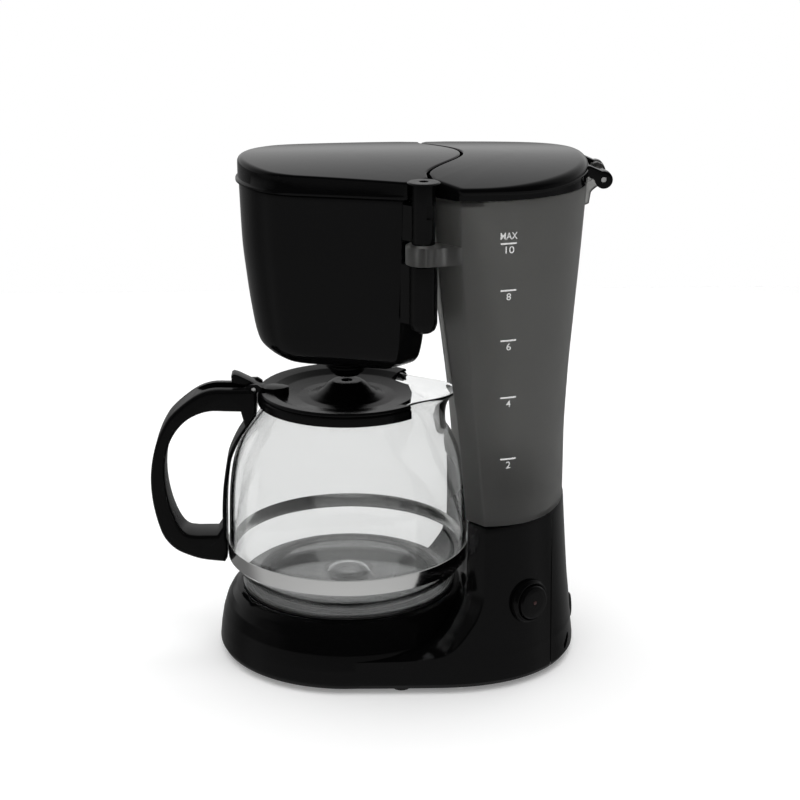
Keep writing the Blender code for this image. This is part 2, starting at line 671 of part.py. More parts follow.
def make_water_path(boiler_end, bend_r, tube_z):
    valve_low = 74.0 * MM
    turned("check_valve_body", [
        (7.6 * MM, 97.6 * MM), (7.6 * MM, 90.0 * MM), (5.4 * MM, 86.0 * MM), (5.4 * MM, valve_low),
        (2.6 * MM, valve_low), (2.6 * MM, 81.0 * MM), (4.2 * MM, 83.0 * MM), (4.2 * MM, 97.6 * MM)],
        VALVE_X, 0, satin_black(), 18, closed=True)
    ball_r = 3.0 * MM
    bm = bmesh.new()
    bmesh.ops.create_uvsphere(bm, u_segments=10, v_segments=6, radius=ball_r,
                              matrix=Matrix.Translation(at(VALVE_X, 0, BALL_Z)))
    shade(mesh_object("check_ball", bm, white_plastic(), at(VALVE_X, 0, BALL_Z)))
    turned("tank_gasket", [(7.4 * MM, 98.0 * MM), (7.4 * MM, 97.8 * MM), (4.6 * MM, 97.8 * MM),
                           (4.6 * MM, 98.0 * MM)], VALVE_X, 0, rubber(), 18, closed=True)
    turned("tank_strainer", [
        (0, 110.0 * MM), (6.6 * MM, 110.0 * MM), (7.0 * MM, 101.4 * MM), (5.8 * MM, 101.4 * MM),
        (5.6 * MM, 108.8 * MM), (0, 108.8 * MM)], VALVE_X, 0, white_plastic(), 18)
    hose_z = valve_low - GAP
    end = boiler_end + GAP
    inlet = smooth_path([
        (VALVE_X, 0, hose_z), (VALVE_X, 0, 68 * MM), (VALVE_X, 0, 62 * MM), (94 * MM, 6 * MM, 46 * MM),
        (84 * MM, 14 * MM, 30 * MM), (70 * MM, 25 * MM, 21 * MM), (58 * MM, 32 * MM, 23 * MM),
        (end + 7 * MM, bend_r, tube_z), (end + 3 * MM, bend_r, tube_z), (end, bend_r, tube_z)], 3)
    tube("inlet_hose", inlet, 3.4 * MM, silicone(), 1)
    outlet = smooth_path([
        (RISER_X, 0, 84.0 * MM - GAP), (RISER_X, 0, 77 * MM), (RISER_X, 0, 70 * MM),
        (81 * MM, -6 * MM, 54 * MM), (77 * MM, -14 * MM, 36 * MM), (68 * MM, -25 * MM, 22 * MM),
        (58 * MM, -32 * MM, 23 * MM), (end + 7 * MM, -bend_r, tube_z), (end + 3 * MM, -bend_r, tube_z),
        (end, -bend_r, tube_z)], 3)
    tube("outlet_hose", outlet, 3.4 * MM, silicone(), 1)
    clips = ((VALVE_X, 0, 71 * MM), (RISER_X, 0, 80.4 * MM))
    for i, (x, y, z) in enumerate(clips):
        turned(f"hose_clip_{i + 1}", [(4.6 * MM, z + 1.8 * MM), (4.6 * MM, z - 1.8 * MM),
                                      (3.9 * MM, z - 1.8 * MM), (3.9 * MM, z + 1.8 * MM)],
               x, y, steel(), 12, closed=True)


def make_riser_and_spray():
    tube("riser_tube", smooth_path(RISER_PATH, 2), 3.4 * MM, silicone(), 2)
    spout = box("water_spout", at(-9 * MM, -6 * MM, 284.4 * MM), at(60.6 * MM, 6 * MM, 289.6 * MM),
                satin_black())
    cut(spout,
        box("spout_channel", at(-7 * MM, -4 * MM, 286.0 * MM), at(59.8 * MM, 4 * MM, 288.4 * MM),
            cutter=True),
        cylinder("spout_inlet", 1.6 * MM, 283 * MM, 287 * MM, SHELF_X, 0, segments=12, cutter=True),
        cylinder("spout_outlet", 3.0 * MM, 283 * MM, 287 * MM, 0, 0, segments=16, cutter=True))
    settle(spout)
    head = turned("shower_head", [
        (0, 282.6 * MM), (32 * MM, 282.6 * MM), (33 * MM, 284.0 * MM), (34 * MM, 283.2 * MM),
        (34 * MM, 281.2 * MM), (0, 281.2 * MM)], 0, 0, satin_black(), 24)
    for ring_r, holes in ((9 * MM, 4), (21 * MM, 6)):
        for k in range(holes):
            angle = 2 * math.pi * (k + 0.37) / holes
            cut(head, cylinder(f"spray_hole_{holes}_{k + 1}", 1.3 * MM, 278 * MM, 284 * MM,
                               ring_r * math.cos(angle), ring_r * math.sin(angle),
                               segments=8, cutter=True))
    settle(head)


def make_button():
    def placed(obj):
        obj.location = button_frame(0)
        obj.rotation_euler = (math.radians(90.0) - BUTTON_TILT, 0, BUTTON_TURN)
        return obj

    placed(turned("button_bezel", [
        (11.3 * MM, 3.6 * MM), (11.6 * MM, 2.6 * MM), (12.3 * MM, 2.2 * MM), (12.6 * MM, 0.4 * MM),
        (10.3 * MM, 0.4 * MM), (10.3 * MM, 3.4 * MM), (10.5 * MM, 3.6 * MM)],
        0, 0, gloss_black(), 32, closed=True))
    cap = placed(turned("power_button", [
        (0, 6.0 * MM), (8.9 * MM, 5.7 * MM), (9.7 * MM, 4.9 * MM), (9.7 * MM, -3.0 * MM),
        (0, -3.0 * MM)], 0, 0, gloss_black(), 32))
    hole = placed(turned("lens_hole", [(0, 8 * MM), (1.5 * MM, 8 * MM), (1.5 * MM, 3 * MM), (0, 3 * MM)],
                         0, 0, steps=16, cutter=True))
    cut(cap, hole)
    placed(turned("indicator_lens", [
        (0, 6.1 * MM), (1.2 * MM, 5.9 * MM), (1.2 * MM, 3.3 * MM), (0, 3.3 * MM)],
        0, 0, lens_red(), 16))
    body = box("switch_body", (-9 * MM, -9 * MM, -25 * MM), (9 * MM, 9 * MM, -7 * MM), white_plastic())
    for v in body.data.vertices:
        v.co.z += body.location.z
    placed(body)


def make_gland():
    obj = turned("cord_gland", [
        (5.0 * MM, 6.0 * MM), (5.0 * MM, 0.0), (7.4 * MM, 0.0), (7.4 * MM, -1.2 * MM),
        (6.6 * MM, -1.7 * MM), (3.6 * MM, -1.7 * MM), (3.6 * MM, 6.0 * MM)],
        0, 0, rubber(), 20, closed=True)
    obj.location = at(131.1 * MM, 0, GLAND_Z)
    obj.rotation_euler = (0, math.radians(-90.0), 0)


# ---------------------------------------------------------------- tank
def tank_section(row, shrink, z=None):
    own_z, rear, half_y, corner, dx, dy, scoop = (v * MM for v in row)
    outline = cabin_outline(corner, rear - corner, half_y, REAR_POWER, corner + 0.01 * MM,
                            (dx, dy), scoop)
    if shrink:
        outline = inset(outline, shrink)
    return lifted(outline, own_z if z is None else z)


def make_tank():
    tank = loft("water_tank", [tank_section(row, 0.0) for row in TANK_SECTIONS], smoky_clear())
    inner = [tank_section(row, TANK_WALL) for row in TANK_SECTIONS]
    inner[0] = tank_section(TANK_SECTIONS[0], TANK_WALL, TANK_BOTTOM + 2.6 * MM)
    inner[-1] = tank_section(TANK_SECTIONS[-1], TANK_WALL, TANK_TOP - 2.6 * MM)
    cut(tank, loft("tank_hollow", inner, cutter=True))
    corner, rear, half_y = 59.2 * MM, 134.2 * MM, 72.6 * MM
    rim = 3.4 * MM
    mouth = rear_arc(corner, rear - corner - rim, half_y - rim, REAR_POWER, FILL_FRONT, 21)
    cut(tank, plan_solid("tank_mouth", mouth, TANK_TOP - 10 * MM, TANK_TOP + 5 * MM, cutter=True))
    ear = cylinder("pivot_ear", LUG_R, LUG_Z[0], LUG_Z[1], PIN_X, PIN_Y, segments=32, cutter=True)
    arm = plan_solid("pivot_arm", [(41 * MM, -76.4 * MM), (59.0 * MM, -72.6 * MM), (58.0 * MM, -70.0 * MM),
                                   (49.0 * MM, -61.0 * MM), (46.6 * MM, -60.0 * MM)],
                     LUG_Z[0], LUG_Z[1], cutter=True)
    add(tank, ear, arm)
    for side in (-1, 1):
        lug = side_solid(f"hinge_lug_{side}", [
            (132.7 * MM, 266.5 * MM), (134.8 * MM, 267.4 * MM), (135.8 * MM, 274.0 * MM),
            (139.0 * MM, 276.8 * MM), (144.8 * MM, 277.4 * MM), (146.6 * MM, 279.6 * MM), (146.9 * MM, 281.8 * MM),
            (145.8 * MM, 284.6 * MM), (142.0 * MM, 286.4 * MM), (138.6 * MM, 284.8 * MM),
            (137.0 * MM, 281.2 * MM), (134.6 * MM, 279.4 * MM), (132.7 * MM, 279.4 * MM)],
            min(side * 9 * MM, side * 14 * MM), max(side * 9 * MM, side * 14 * MM), cutter=True)
        add(tank, lug)
    cut(tank,
        rod("hinge_bore", 1.7 * MM, at(HINGE_X, -30 * MM, HINGE_Z), at(HINGE_X, 30 * MM, HINGE_Z),
            segments=16, cutter=True),
        cylinder("ear_bore", PIN_R + GAP, LUG_Z[0] - 5 * MM, LUG_Z[1] + 5 * MM, PIN_X, PIN_Y,
                 segments=28, cutter=True),
        cylinder("tank_outlet", 4.4 * MM, 90 * MM, 105 * MM, VALVE_X, 0, segments=24, cutter=True),
        cylinder("riser_floor_hole", 3.8 * MM, 90 * MM, 105 * MM, RISER_X, 0, segments=20, cutter=True),
        cylinder("riser_shelf_hole", 4.6 * MM, 270 * MM, 290 * MM, SHELF_X + 0.7 * MM, 0,
                 segments=20, cutter=True))
    for i, (x, y) in enumerate(COVER_SCREWS):
        cut(tank, cylinder(f"shelf_hole_{i + 1}", 1.6 * MM, 270 * MM, 290 * MM, x, y,
                           segments=14, cutter=True))
    shade(settle(tank), 30)


# ---------------------------------------------------------------- covers
def arc_through(tip_x, corner, count):
    """Arc points from (corner x, +y) round the tip on the X axis to (corner x, -y)."""
    depth = corner[0] - tip_x
    radius = (corner[1] ** 2 + depth ** 2) / (2 * depth)
    centre = tip_x + radius
    half = math.atan2(corner[1], centre - corner[0])
    points = []
    for i in range(count):
        angle = half * (1 - 2 * i / (count - 1))
        points.append((centre - radius * math.cos(angle), radius * math.sin(angle)))
    return points


def tongue(offset, half_width):
    """Rounded back edge of the cover, from the near side to the far side."""
    points = []
    for i in range(TONGUE_POINTS):
        t = -1 + 2 * i / (TONGUE_POINTS - 1)
        swell = 0.5 * (1 + math.cos(math.pi * t))
        points.append((TONGUE_ROOT + (BULGE_TIP - TONGUE_ROOT) * swell ** 0.8 + offset, t * half_width))
    return points


def cover_outline():
    """Plan of the front cover: round nose, straight sides and the rounded tongue at the back."""
    side_x, side_y = COVER_SIDE_END
    shoulder_x, shoulder_y = COVER_SHOULDER
    return ([(shoulder_x, shoulder_y), (side_x, side_y)] + arc_through(NOSE_TIP, NOSE_CORNER, 13)
            + [(side_x, -side_y), (shoulder_x, -shoulder_y)] + tongue(0.0, TONGUE_HALF))


def make_front_cover():
    outline = cover_outline()
    cover = plan_solid("front_cover", outline, COVER_BOTTOM, 299 * MM, gloss_black())
    cut(cover, crown_cutter("cover_crown", 0.0))
    hollow = plan_solid("cover_hollow", inset(outline, 2.2 * MM), 270 * MM, 299 * MM, cutter=True)
    cut(hollow, crown_cutter("cover_inner_crown", 2.2 * MM))
    settle(hollow)
    cut(cover, hollow)
    cut(cover, cylinder("flange_relief", 9.4 * MM, 270 * MM, 300 * MM, PIN_X, PIN_Y,
                        segments=32, cutter=True))
    cut(cover, plan_solid("cover_rear_relief", [
        (34.0 * MM, -70 * MM), (75 * MM, -70 * MM), (75 * MM, 70 * MM), (34.0 * MM, 70 * MM)],
        270 * MM, TANK_TOP + 0.5 * MM, cutter=True))
    for i, (x, y) in enumerate(COVER_SCREWS):
        add(cover, cylinder(f"cover_boss_{i + 1}", 2.6 * MM, TANK_TOP + 0.6 * MM, 292.6 * MM, x, y,
                            segments=16, cutter=True))
        cut(cover, cylinder(f"cover_boss_bore_{i + 1}", 1.5 * MM, 270 * MM, 288.4 * MM, x, y,
                            segments=12, cutter=True))
    settle(cover)
    shade(cover, 30)
    for i, (x, y) in enumerate(COVER_SCREWS):
        low = TANK_TOP - 2.6 * MM - GAP
        turned(f"cover_screw_{i + 1}", [(0, 287.4 * MM), (1.2 * MM, 287.4 * MM), (1.2 * MM, low),
                                        (2.3 * MM, low), (2.3 * MM, low - 1.8 * MM), (0, low - 1.8 * MM)],
               x, y, steel(), 14)


def make_tank_lid():
    arc = rear_arc(60.0 * MM, 74.6 * MM, 73.2 * MM, REAR_POWER, 60.01 * MM, 21)
    seam = tongue(1.5 * MM, TONGUE_HALF + 0.5 * MM)[::-1]
    outline = arc + [(46.4 * MM, 58.6 * MM)] + seam + [(46.4 * MM, -58.6 * MM)]
    lid = plan_solid("tank_lid", outline, LID_BOTTOM, 299 * MM, gloss_black())
    cut(lid, crown_cutter("lid_crown", 0.0))
    hollow = plan_solid("lid_hollow", inset(outline, 2.2 * MM), 270 * MM, 299 * MM, cutter=True)
    cut(hollow, crown_cutter("lid_inner_crown", 2.2 * MM))
    settle(hollow)
    cut(lid, hollow)
    for side in (-1, 1):
        low, high = sorted((side * 14.4 * MM, side * 19.4 * MM))
        arm = side_solid(f"lid_arm_{side}", [
            (131.0 * MM, 284.4 * MM), (138.4 * MM, 280.6 * MM), (140.0 * MM, 278.2 * MM),
            (142.4 * MM, 277.6 * MM), (144.8 * MM, 278.8 * MM), (145.9 * MM, 281.4 * MM),
            (145.2 * MM, 284.0 * MM), (142.6 * MM, 285.6 * MM), (134.4 * MM, 289.2 * MM),
            (131.0 * MM, 289.2 * MM)], low, high, cutter=True)
        knuckle = rod(f"lid_knuckle_{side}", KNUCKLE_R, at(HINGE_X, low, HINGE_Z),
                      at(HINGE_X, high, HINGE_Z), segments=28, cutter=True)
        add(lid, arm, knuckle)
    cut(lid, rod("lid_bore", 1.7 * MM, at(HINGE_X, -30 * MM, HINGE_Z), at(HINGE_X, 30 * MM, HINGE_Z),
                 segments=16, cutter=True))
    shade(settle(lid), 30)
    lid.data.transform(Matrix.Translation(lid.location - at(HINGE_X, 0, HINGE_Z)))
    lid.location = at(HINGE_X, 0, HINGE_Z)
    rod("lid_hinge_pin", 1.4 * MM, at(HINGE_X, -18.6 * MM, HINGE_Z), at(HINGE_X, 18.6 * MM, HINGE_Z),
        steel(), 16)


# ---------------------------------------------------------------- basket
def basket_ring(row, shrink=0.0, z=None):
    own_z, tip, cx, cy, sx, sy, rx, ry = (v * MM for v in row)
    ring = [(rx, -ry), (rx, 0.0), (rx, ry), (sx, sy)]
    ring += [(0.5 * (sx + cx), 0.5 * (sy + cy))]
    ring += arc_through(tip, (cx, cy), 11)
    ring += [(0.5 * (sx + cx), -0.5 * (sy + cy)), (sx, -sy)]
    if shrink:
        ring = inset(ring, shrink)
    return lifted(ring, own_z if z is None else z)


def floor_ring(radius, z):
    """Ring on the floor cone with as many points as a basket ring, at matching bearings."""
    ring = []
    for x, y, _ in basket_ring(BASKET_SECTIONS[0]):
        bearing = math.atan2(y, x)
        ring.append((radius * math.cos(bearing), radius * math.sin(bearing), z))
    return ring


def make_basket():
    rings = [floor_ring(16 * MM, BASKET_BOTTOM)] + [basket_ring(row) for row in BASKET_SECTIONS]
    basket = loft("filter_basket", rings, gloss_black())
    inner = [floor_ring(15 * MM, BASKET_BOTTOM + 2.4 * MM)]
    inner += [basket_ring(row, 2.2 * MM, row[0] * MM + 2.2 * MM) for row in BASKET_SECTIONS]
    cut(basket, loft("basket_hollow", inner, cutter=True))
    cut(basket, cylinder("basket_outlet", 6.0 * MM, 170 * MM, 190 * MM, 0, 0, segments=24, cutter=True))
    webs = (("upper", LUG_Z[1] + 1.6 * MM, 277.4 * MM),
            ("lower", LOWER_BARREL_Z + 4 * MM, LUG_Z[0] - 1.0 * MM))
    for label, low, high in webs:
        web = plan_solid(f"{label}_web", [
            (28.4 * MM, -61.0 * MM), (35.2 * MM, -67.6 * MM), (40.6 * MM, -62.0 * MM),
            (41.6 * MM, -54.0 * MM), (41.6 * MM, -50.6 * MM), (39.0 * MM, -52.4 * MM),
            (29.8 * MM, -60.2 * MM)], low, high, cutter=True)
        add(basket, web)
    add(basket,
        cylinder("upper_barrel", BARREL_R, LUG_Z[1] + 0.5 * MM, 289.0 * MM, PIN_X, PIN_Y,
                 segments=32, cutter=True),
        turned("lower_barrel", [(0, LUG_Z[0] - 0.5 * MM), (7.6 * MM, LUG_Z[0] - 0.5 * MM),
                                (7.6 * MM, LOWER_BARREL_Z + 5 * MM), (6.4 * MM, LOWER_BARREL_Z + 1.6 * MM),
                                (4.2 * MM, LOWER_BARREL_Z), (0, LOWER_BARREL_Z)],
               PIN_X, PIN_Y, steps=32, cutter=True))
    cut(basket,
        cylinder("barrel_bore", PIN_R + GAP, LOWER_BARREL_Z + 4 * MM, 292 * MM, PIN_X, PIN_Y,
                 segments=28, cutter=True),
        box("barrel_slot", at(PIN_X + 1.6 * MM, PIN_Y - 8 * MM, 267 * MM),
            at(PIN_X + 5.0 * MM, PIN_Y - 4.4 * MM, 273 * MM), cutter=True))
    shade(settle(basket), 30)
    basket.data.transform(Matrix.Translation(basket.location - at(PIN_X, PIN_Y, 0)))
    basket.location = at(PIN_X, PIN_Y, 0)
    turned("basket_pin", [
        (0, 282 * MM), (2.4 * MM, 282 * MM), (2.4 * MM, 290.6 * MM), (8.0 * MM, 290.4 * MM),
        (8.8 * MM, 290.0 * MM), (8.8 * MM, 289.5 * MM), (PIN_R, 289.3 * MM), (PIN_R, 214.0 * MM),
        (0, 214.0 * MM)], PIN_X, PIN_Y, satin_black(), 22)
    turned("filter_insert", [
        (46.4 * MM, 266.0 * MM), (46.4 * MM, 264.6 * MM), (43.6 * MM, 264.6 * MM), (20.0 * MM, 190.0 * MM),
        (6.0 * MM, 190.0 * MM), (6.0 * MM, 191.6 * MM), (19.0 * MM, 191.6 * MM), (42.4 * MM, 266.0 * MM)],
        -8 * MM, 0, satin_black(), 24, closed=True)


def make_drip_stop():
    turned("drip_retainer", [
        (11.0 * MM, 177.7 * MM), (12.6 * MM, 177.0 * MM), (12.6 * MM, 174.6 * MM), (11.4 * MM, 174.0 * MM),
        (11.4 * MM, 173.2 * MM), (12.2 * MM, 172.6 * MM), (12.2 * MM, 171.4 * MM), (10.8 * MM, 170.4 * MM),
        (9.8 * MM, 168.4 * MM), (7.4 * MM, 166.2 * MM), (3.6 * MM, 166.2 * MM), (3.6 * MM, 167.4 * MM),
        (8.4 * MM, 168.8 * MM), (8.6 * MM, 177.7 * MM)], 0, 0, satin_black(), 20, closed=True)
    disc = 172.2 * MM
    turned("drip_plunger", [
        (0, 180.0 * MM), (1.6 * MM, 180.0 * MM), (1.6 * MM, disc + 1.2 * MM), (7.8 * MM, disc + 0.8 * MM),
        (7.8 * MM, disc), (2.6 * MM, disc), (2.6 * MM, PLUNGER_TIP + 0.6 * MM),
        (2.0 * MM, PLUNGER_TIP), (0, PLUNGER_TIP)], 0, 0, satin_black(), 16)
    turned("drip_seal", [
        (6.8 * MM, disc - 0.2 * MM), (6.8 * MM, disc - 1.0 * MM), (2.9 * MM, disc - 1.0 * MM),
        (2.9 * MM, disc - 0.2 * MM)], 0, 0, silicone(), 16, closed=True)
    coil_r, wire_r, turns = 6.9 * MM, 0.4 * MM, 3
    low, high = disc + 1.7 * MM, BASKET_BOTTOM - 0.6 * MM
    points = []
    per_turn = 10
    for k in range(turns * per_turn + 1):
        angle = 2 * math.pi * k / per_turn
        z = low + (high - low) * k / (turns * per_turn)
        points.append((coil_r * math.cos(angle), coil_r * math.sin(angle), z))
    tube("drip_spring", points, wire_r, steel(), 1)


# ---------------------------------------------------------------- jug
def glass_point(radius, z, angle):
    """Point of the glass skin, with the lip drawn out around the +X side."""
    angle_from_spout = abs(math.atan2(math.sin(angle), math.cos(angle)))
    reach = 0.0
    if z > SPOUT_START and angle_from_spout < SPOUT_HALF_ANGLE:
        rise = (z - SPOUT_START) / (155.4 * MM - SPOUT_START)
        reach = SPOUT_REACH * rise ** 1.3 * math.cos(angle_from_spout / SPOUT_HALF_ANGLE * math.pi / 2) ** 2
    r = radius + reach
    return (r * math.cos(angle), r * math.sin(angle), z)


def make_glass():
    count = 36
    bm = bmesh.new()
    rows = []
    for r, z in GLASS_PROFILE:
        if r == 0.0:
            rows.append([bm.verts.new(at(0, 0, z * MM))])
            continue
        rows.append([bm.verts.new(at(*glass_point(r * MM, z * MM, 2 * math.pi * i / count)))
                     for i in range(count)])
    for low, high in zip(rows, rows[1:]):
        for i in range(count):
            j = (i + 1) % count
            if len(low) == 1:
                bm.faces.new((low[0], high[j], high[i]))
            else:
                bm.faces.new((low[i], low[j], high[j], high[i]))
    glass = mesh_object("jug_glass", bm, clear_glass(), at(0, 0, 0), is_open=True)
    wall = glass.modifiers.new("wall", "SOLIDIFY")
    wall.thickness = GLASS_T
    wall.offset = -1.0
    wall.use_even_offset = True
    shade(glass, 60)


def glass_radius(z):
    for (r0, z0), (r1, z1) in zip(GLASS_PROFILE, GLASS_PROFILE[1:]):
        if z0 * MM <= z <= z1 * MM and z1 > z0:
            return (r0 + (r1 - r0) * (z / MM - z0) / (z1 - z0)) * MM
    return GLASS_PROFILE[-1][0] * MM


def make_handle():
    outer = [(x * MM, z * MM) for x, z in HANDLE_OUTER]
    strap_gap = 0.6 * MM
    strap_t = 3.2 * MM
    heights = [57.0, 62.0, 68.0, 76.0, 88.0, 100.0, 110.0, 118.0, 125.4, 132.0, 138.0, 144.0, 148.6]
    inner_side = [(-max(glass_radius(h * MM) + strap_gap + 0.7 * MM, 71.0 * MM if h < 70 else 0), h * MM)
                  for h in heights]
    outline = outer + inner_side + [(-51.8 * MM, 149.2 * MM)]
    handle = side_solid("jug_handle", outline, -HANDLE_W / 2, HANDLE_W / 2, satin_black())
    opening = [(x * MM, z * MM) for x, z in HANDLE_OPENING]
    opening += [(-(glass_radius(h * MM) + strap_gap + strap_t), h * MM) for h in heights[3:11]]
    cut(handle, side_solid("finger_gap", opening, -30 * MM, 30 * MM, cutter=True))
    bevel = settle(handle).modifiers.new("rounding", "BEVEL")
    bevel.width = 1.5 * MM
    bevel.segments = 1
    bevel.limit_method = "ANGLE"
    bevel.angle_limit = math.radians(60.0)
    settle(handle)
    screw_z = 63.0 * MM
    cut(handle,
        rod("screw_recess", 3.9 * MM, at(-120 * MM, 0, screw_z), at(-84.0 * MM, 0, screw_z),
            segments=20, cutter=True),
        rod("screw_way", 1.9 * MM, at(-90 * MM, 0, screw_z), at(-60 * MM, 0, screw_z),
            segments=14, cutter=True))
    cut(handle, box("lever_slot", at(-90 * MM, -5.4 * MM, 156.6 * MM), at(-40 * MM, 5.4 * MM, 170 * MM),
                    cutter=True))
    for side in (-1, 1):
        low, high = sorted((side * 5.6 * MM, side * 8.4 * MM))
        cheek = side_solid(f"lid_cheek_{side}", [
            (-59.0 * MM, 158.0 * MM), (-48.4 * MM, 157.4 * MM), (-48.8 * MM, 160.6 * MM),
            (-51.4 * MM, 162.4 * MM), (-55.4 * MM, 162.4 * MM), (-58.4 * MM, 160.6 * MM)],
            low, high, cutter=True)
        add(handle, cheek)
    cut(handle, rod("lid_pivot_bore", 1.5 * MM, at(LID_PIVOT_X, -20 * MM, LID_PIVOT_Z),
                    at(LID_PIVOT_X, 20 * MM, LID_PIVOT_Z), segments=14, cutter=True))
    shade(settle(handle), 40)
    head = turned("band_screw", [(0, 13.2 * MM), (1.6 * MM, 13.2 * MM), (1.6 * MM, 0), (3.4 * MM, 0),
                                 (3.4 * MM, -2.2 * MM), (0, -2.2 * MM)], 0, 0, steel(), 16)
    head.location = at(-84.4 * MM, 0, screw_z)
    head.rotation_euler = (0, math.radians(90.0), 0)


def make_jug_fittings():
    turned("jug_band", [(JUG_R + 0.9 * MM, BAND_Z[1]), (JUG_R + 0.9 * MM, BAND_Z[0]),
                        (JUG_R + 0.3 * MM, BAND_Z[0]), (JUG_R + 0.3 * MM, BAND_Z[1])],
           0, 0, steel(), 40, closed=True)
    collar = turned("jug_collar", [
        (50.4 * MM, COLLAR_Z[1]), (51.4 * MM, COLLAR_Z[1] - 0.8 * MM), (51.6 * MM, COLLAR_Z[0]),
        (49.0 * MM, COLLAR_Z[0]), (48.4 * MM, COLLAR_Z[1])], 0, 0, satin_black(), 40, closed=True)
    wing = math.radians(46.0)
    far = 80 * MM
    cut(collar, plan_solid("collar_gap", [
        (0, 0), (far * math.cos(wing), -far * math.sin(wing)), (far * 1.6, 0),
        (far * math.cos(wing), far * math.sin(wing))], 140 * MM, 170 * MM, cutter=True))
    settle(collar)
    make_jug_lid(wing)
    rod("jug_lid_pin", 1.2 * MM, at(LID_PIVOT_X, -8.0 * MM, LID_PIVOT_Z),
        at(LID_PIVOT_X, 8.0 * MM, LID_PIVOT_Z), steel(), 14)


def make_jug_lid(wing):
    lid = turned("jug_lid", [
        (3.2 * MM, DOME_TOP), (8.4 * MM, DOME_TOP), (11.0 * MM, 160.8 * MM), (14.0 * MM, 157.8 * MM),
        (17.6 * MM, 155.2 * MM), (22.0 * MM, 153.6 * MM), (28.0 * MM, 153.4 * MM), (38.0 * MM, 154.6 * MM),
        (43.0 * MM, 157.0 * MM), (50.2 * MM, 158.0 * MM), (51.2 * MM, 157.2 * MM), (51.2 * MM, 156.2 * MM),
        (43.6 * MM, 156.2 * MM), (42.6 * MM, 152.8 * MM), (28.0 * MM, 151.4 * MM), (21.4 * MM, 151.6 * MM),
        (16.6 * MM, 153.4 * MM), (12.6 * MM, 156.4 * MM), (9.4 * MM, 159.6 * MM), (7.6 * MM, 160.6 * MM),
        (3.2 * MM, 160.6 * MM)], 0, 0, satin_black(), 32, closed=True)
    reach = 38.0 * MM
    far = 90 * MM
    cut(lid, plan_solid("pour_gap", [
        (reach * math.cos(wing), -reach * math.sin(wing)), (far * math.cos(wing), -far * math.sin(wing)),
        (far, 0), (far * math.cos(wing), far * math.sin(wing)),
        (reach * math.cos(wing), reach * math.sin(wing)), (36 * MM, 14 * MM), (37.4 * MM, 0),
        (36 * MM, -14 * MM)], 140 * MM, 170 * MM, cutter=True))
    cut(lid,
        box("lid_notch_near", at(-60 * MM, -9.2 * MM, 150 * MM), at(-46.8 * MM, -5.1 * MM, 170 * MM),
            cutter=True),
        box("lid_notch_far", at(-60 * MM, 5.1 * MM, 150 * MM), at(-46.8 * MM, 9.2 * MM, 170 * MM),
            cutter=True))
    lever = side_solid("thumb_lever", [
        (-44.0 * MM, 156.6 * MM), (-44.0 * MM, 157.6 * MM), (-50.0 * MM, 160.4 * MM),
        (-55.0 * MM, 163.4 * MM), (-62.0 * MM, 167.0 * MM), (-64.8 * MM, 167.8 * MM),
        (-66.2 * MM, 166.8 * MM), (-66.0 * MM, 162.8 * MM), (-58.0 * MM, 160.6 * MM),
        (-56.4 * MM, 158.6 * MM), (-54.4 * MM, 157.2 * MM), (-51.0 * MM, 157.0 * MM)],
        -4.9 * MM, 4.9 * MM, cutter=True)
    add(lid, lever)
    cut(lid, rod("lid_pin_bore", 1.5 * MM, at(LID_PIVOT_X, -20 * MM, LID_PIVOT_Z),
                 at(LID_PIVOT_X, 20 * MM, LID_PIVOT_Z), segments=14, cutter=True))
    shade(settle(lid), 30)
    lid.data.transform(Matrix.Translation(lid.location - at(LID_PIVOT_X, 0, LID_PIVOT_Z)))
    lid.location = at(LID_PIVOT_X, 0, LID_PIVOT_Z)


# ---------------------------------------------------------------- build
def main():
    clear_scene()
    make_collections()
    make_base()
    make_feet_and_screws()
    end, bend, height = make_plate_and_heater()
    make_water_path(end, bend, height)
    make_riser_and_spray()
    make_button()
    make_gland()
    make_tank()
    make_front_cover()
    make_tank_lid()
    make_basket()
    make_drip_stop()
    make_glass()
    make_handle()
    make_jug_fittings()


main()
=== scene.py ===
"""Looks of the drip coffee maker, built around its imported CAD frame.

Lengths in the shape code are millimetres: u along X from the jug's axis, y across, z above the floor.
"""
import math

import bmesh
import bpy
import numpy as np
from mathutils import Matrix, Vector


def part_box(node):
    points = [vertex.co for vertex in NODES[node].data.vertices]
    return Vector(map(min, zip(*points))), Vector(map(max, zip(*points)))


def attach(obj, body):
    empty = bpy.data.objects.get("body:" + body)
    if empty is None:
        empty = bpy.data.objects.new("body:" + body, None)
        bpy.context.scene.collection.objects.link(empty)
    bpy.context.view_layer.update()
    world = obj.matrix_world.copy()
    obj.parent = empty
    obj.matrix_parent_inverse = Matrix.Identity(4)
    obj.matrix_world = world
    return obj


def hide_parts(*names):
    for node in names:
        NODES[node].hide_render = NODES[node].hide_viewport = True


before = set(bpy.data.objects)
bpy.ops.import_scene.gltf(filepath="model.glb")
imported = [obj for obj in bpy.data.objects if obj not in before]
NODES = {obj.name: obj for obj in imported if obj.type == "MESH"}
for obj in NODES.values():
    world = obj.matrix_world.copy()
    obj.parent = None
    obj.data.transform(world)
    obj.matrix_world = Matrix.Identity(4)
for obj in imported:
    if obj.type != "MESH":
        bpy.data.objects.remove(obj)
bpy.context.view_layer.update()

MM = 0.001
SCENE = bpy.context.scene
band_low, band_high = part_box("jug_band")
AXIS_X = (band_low.x + band_high.x) / 2


def P(u, y, z):
    """World place of a point given in millimetres from the jug's axis."""
    return Vector((AXIS_X + u * MM, y * MM, z * MM))


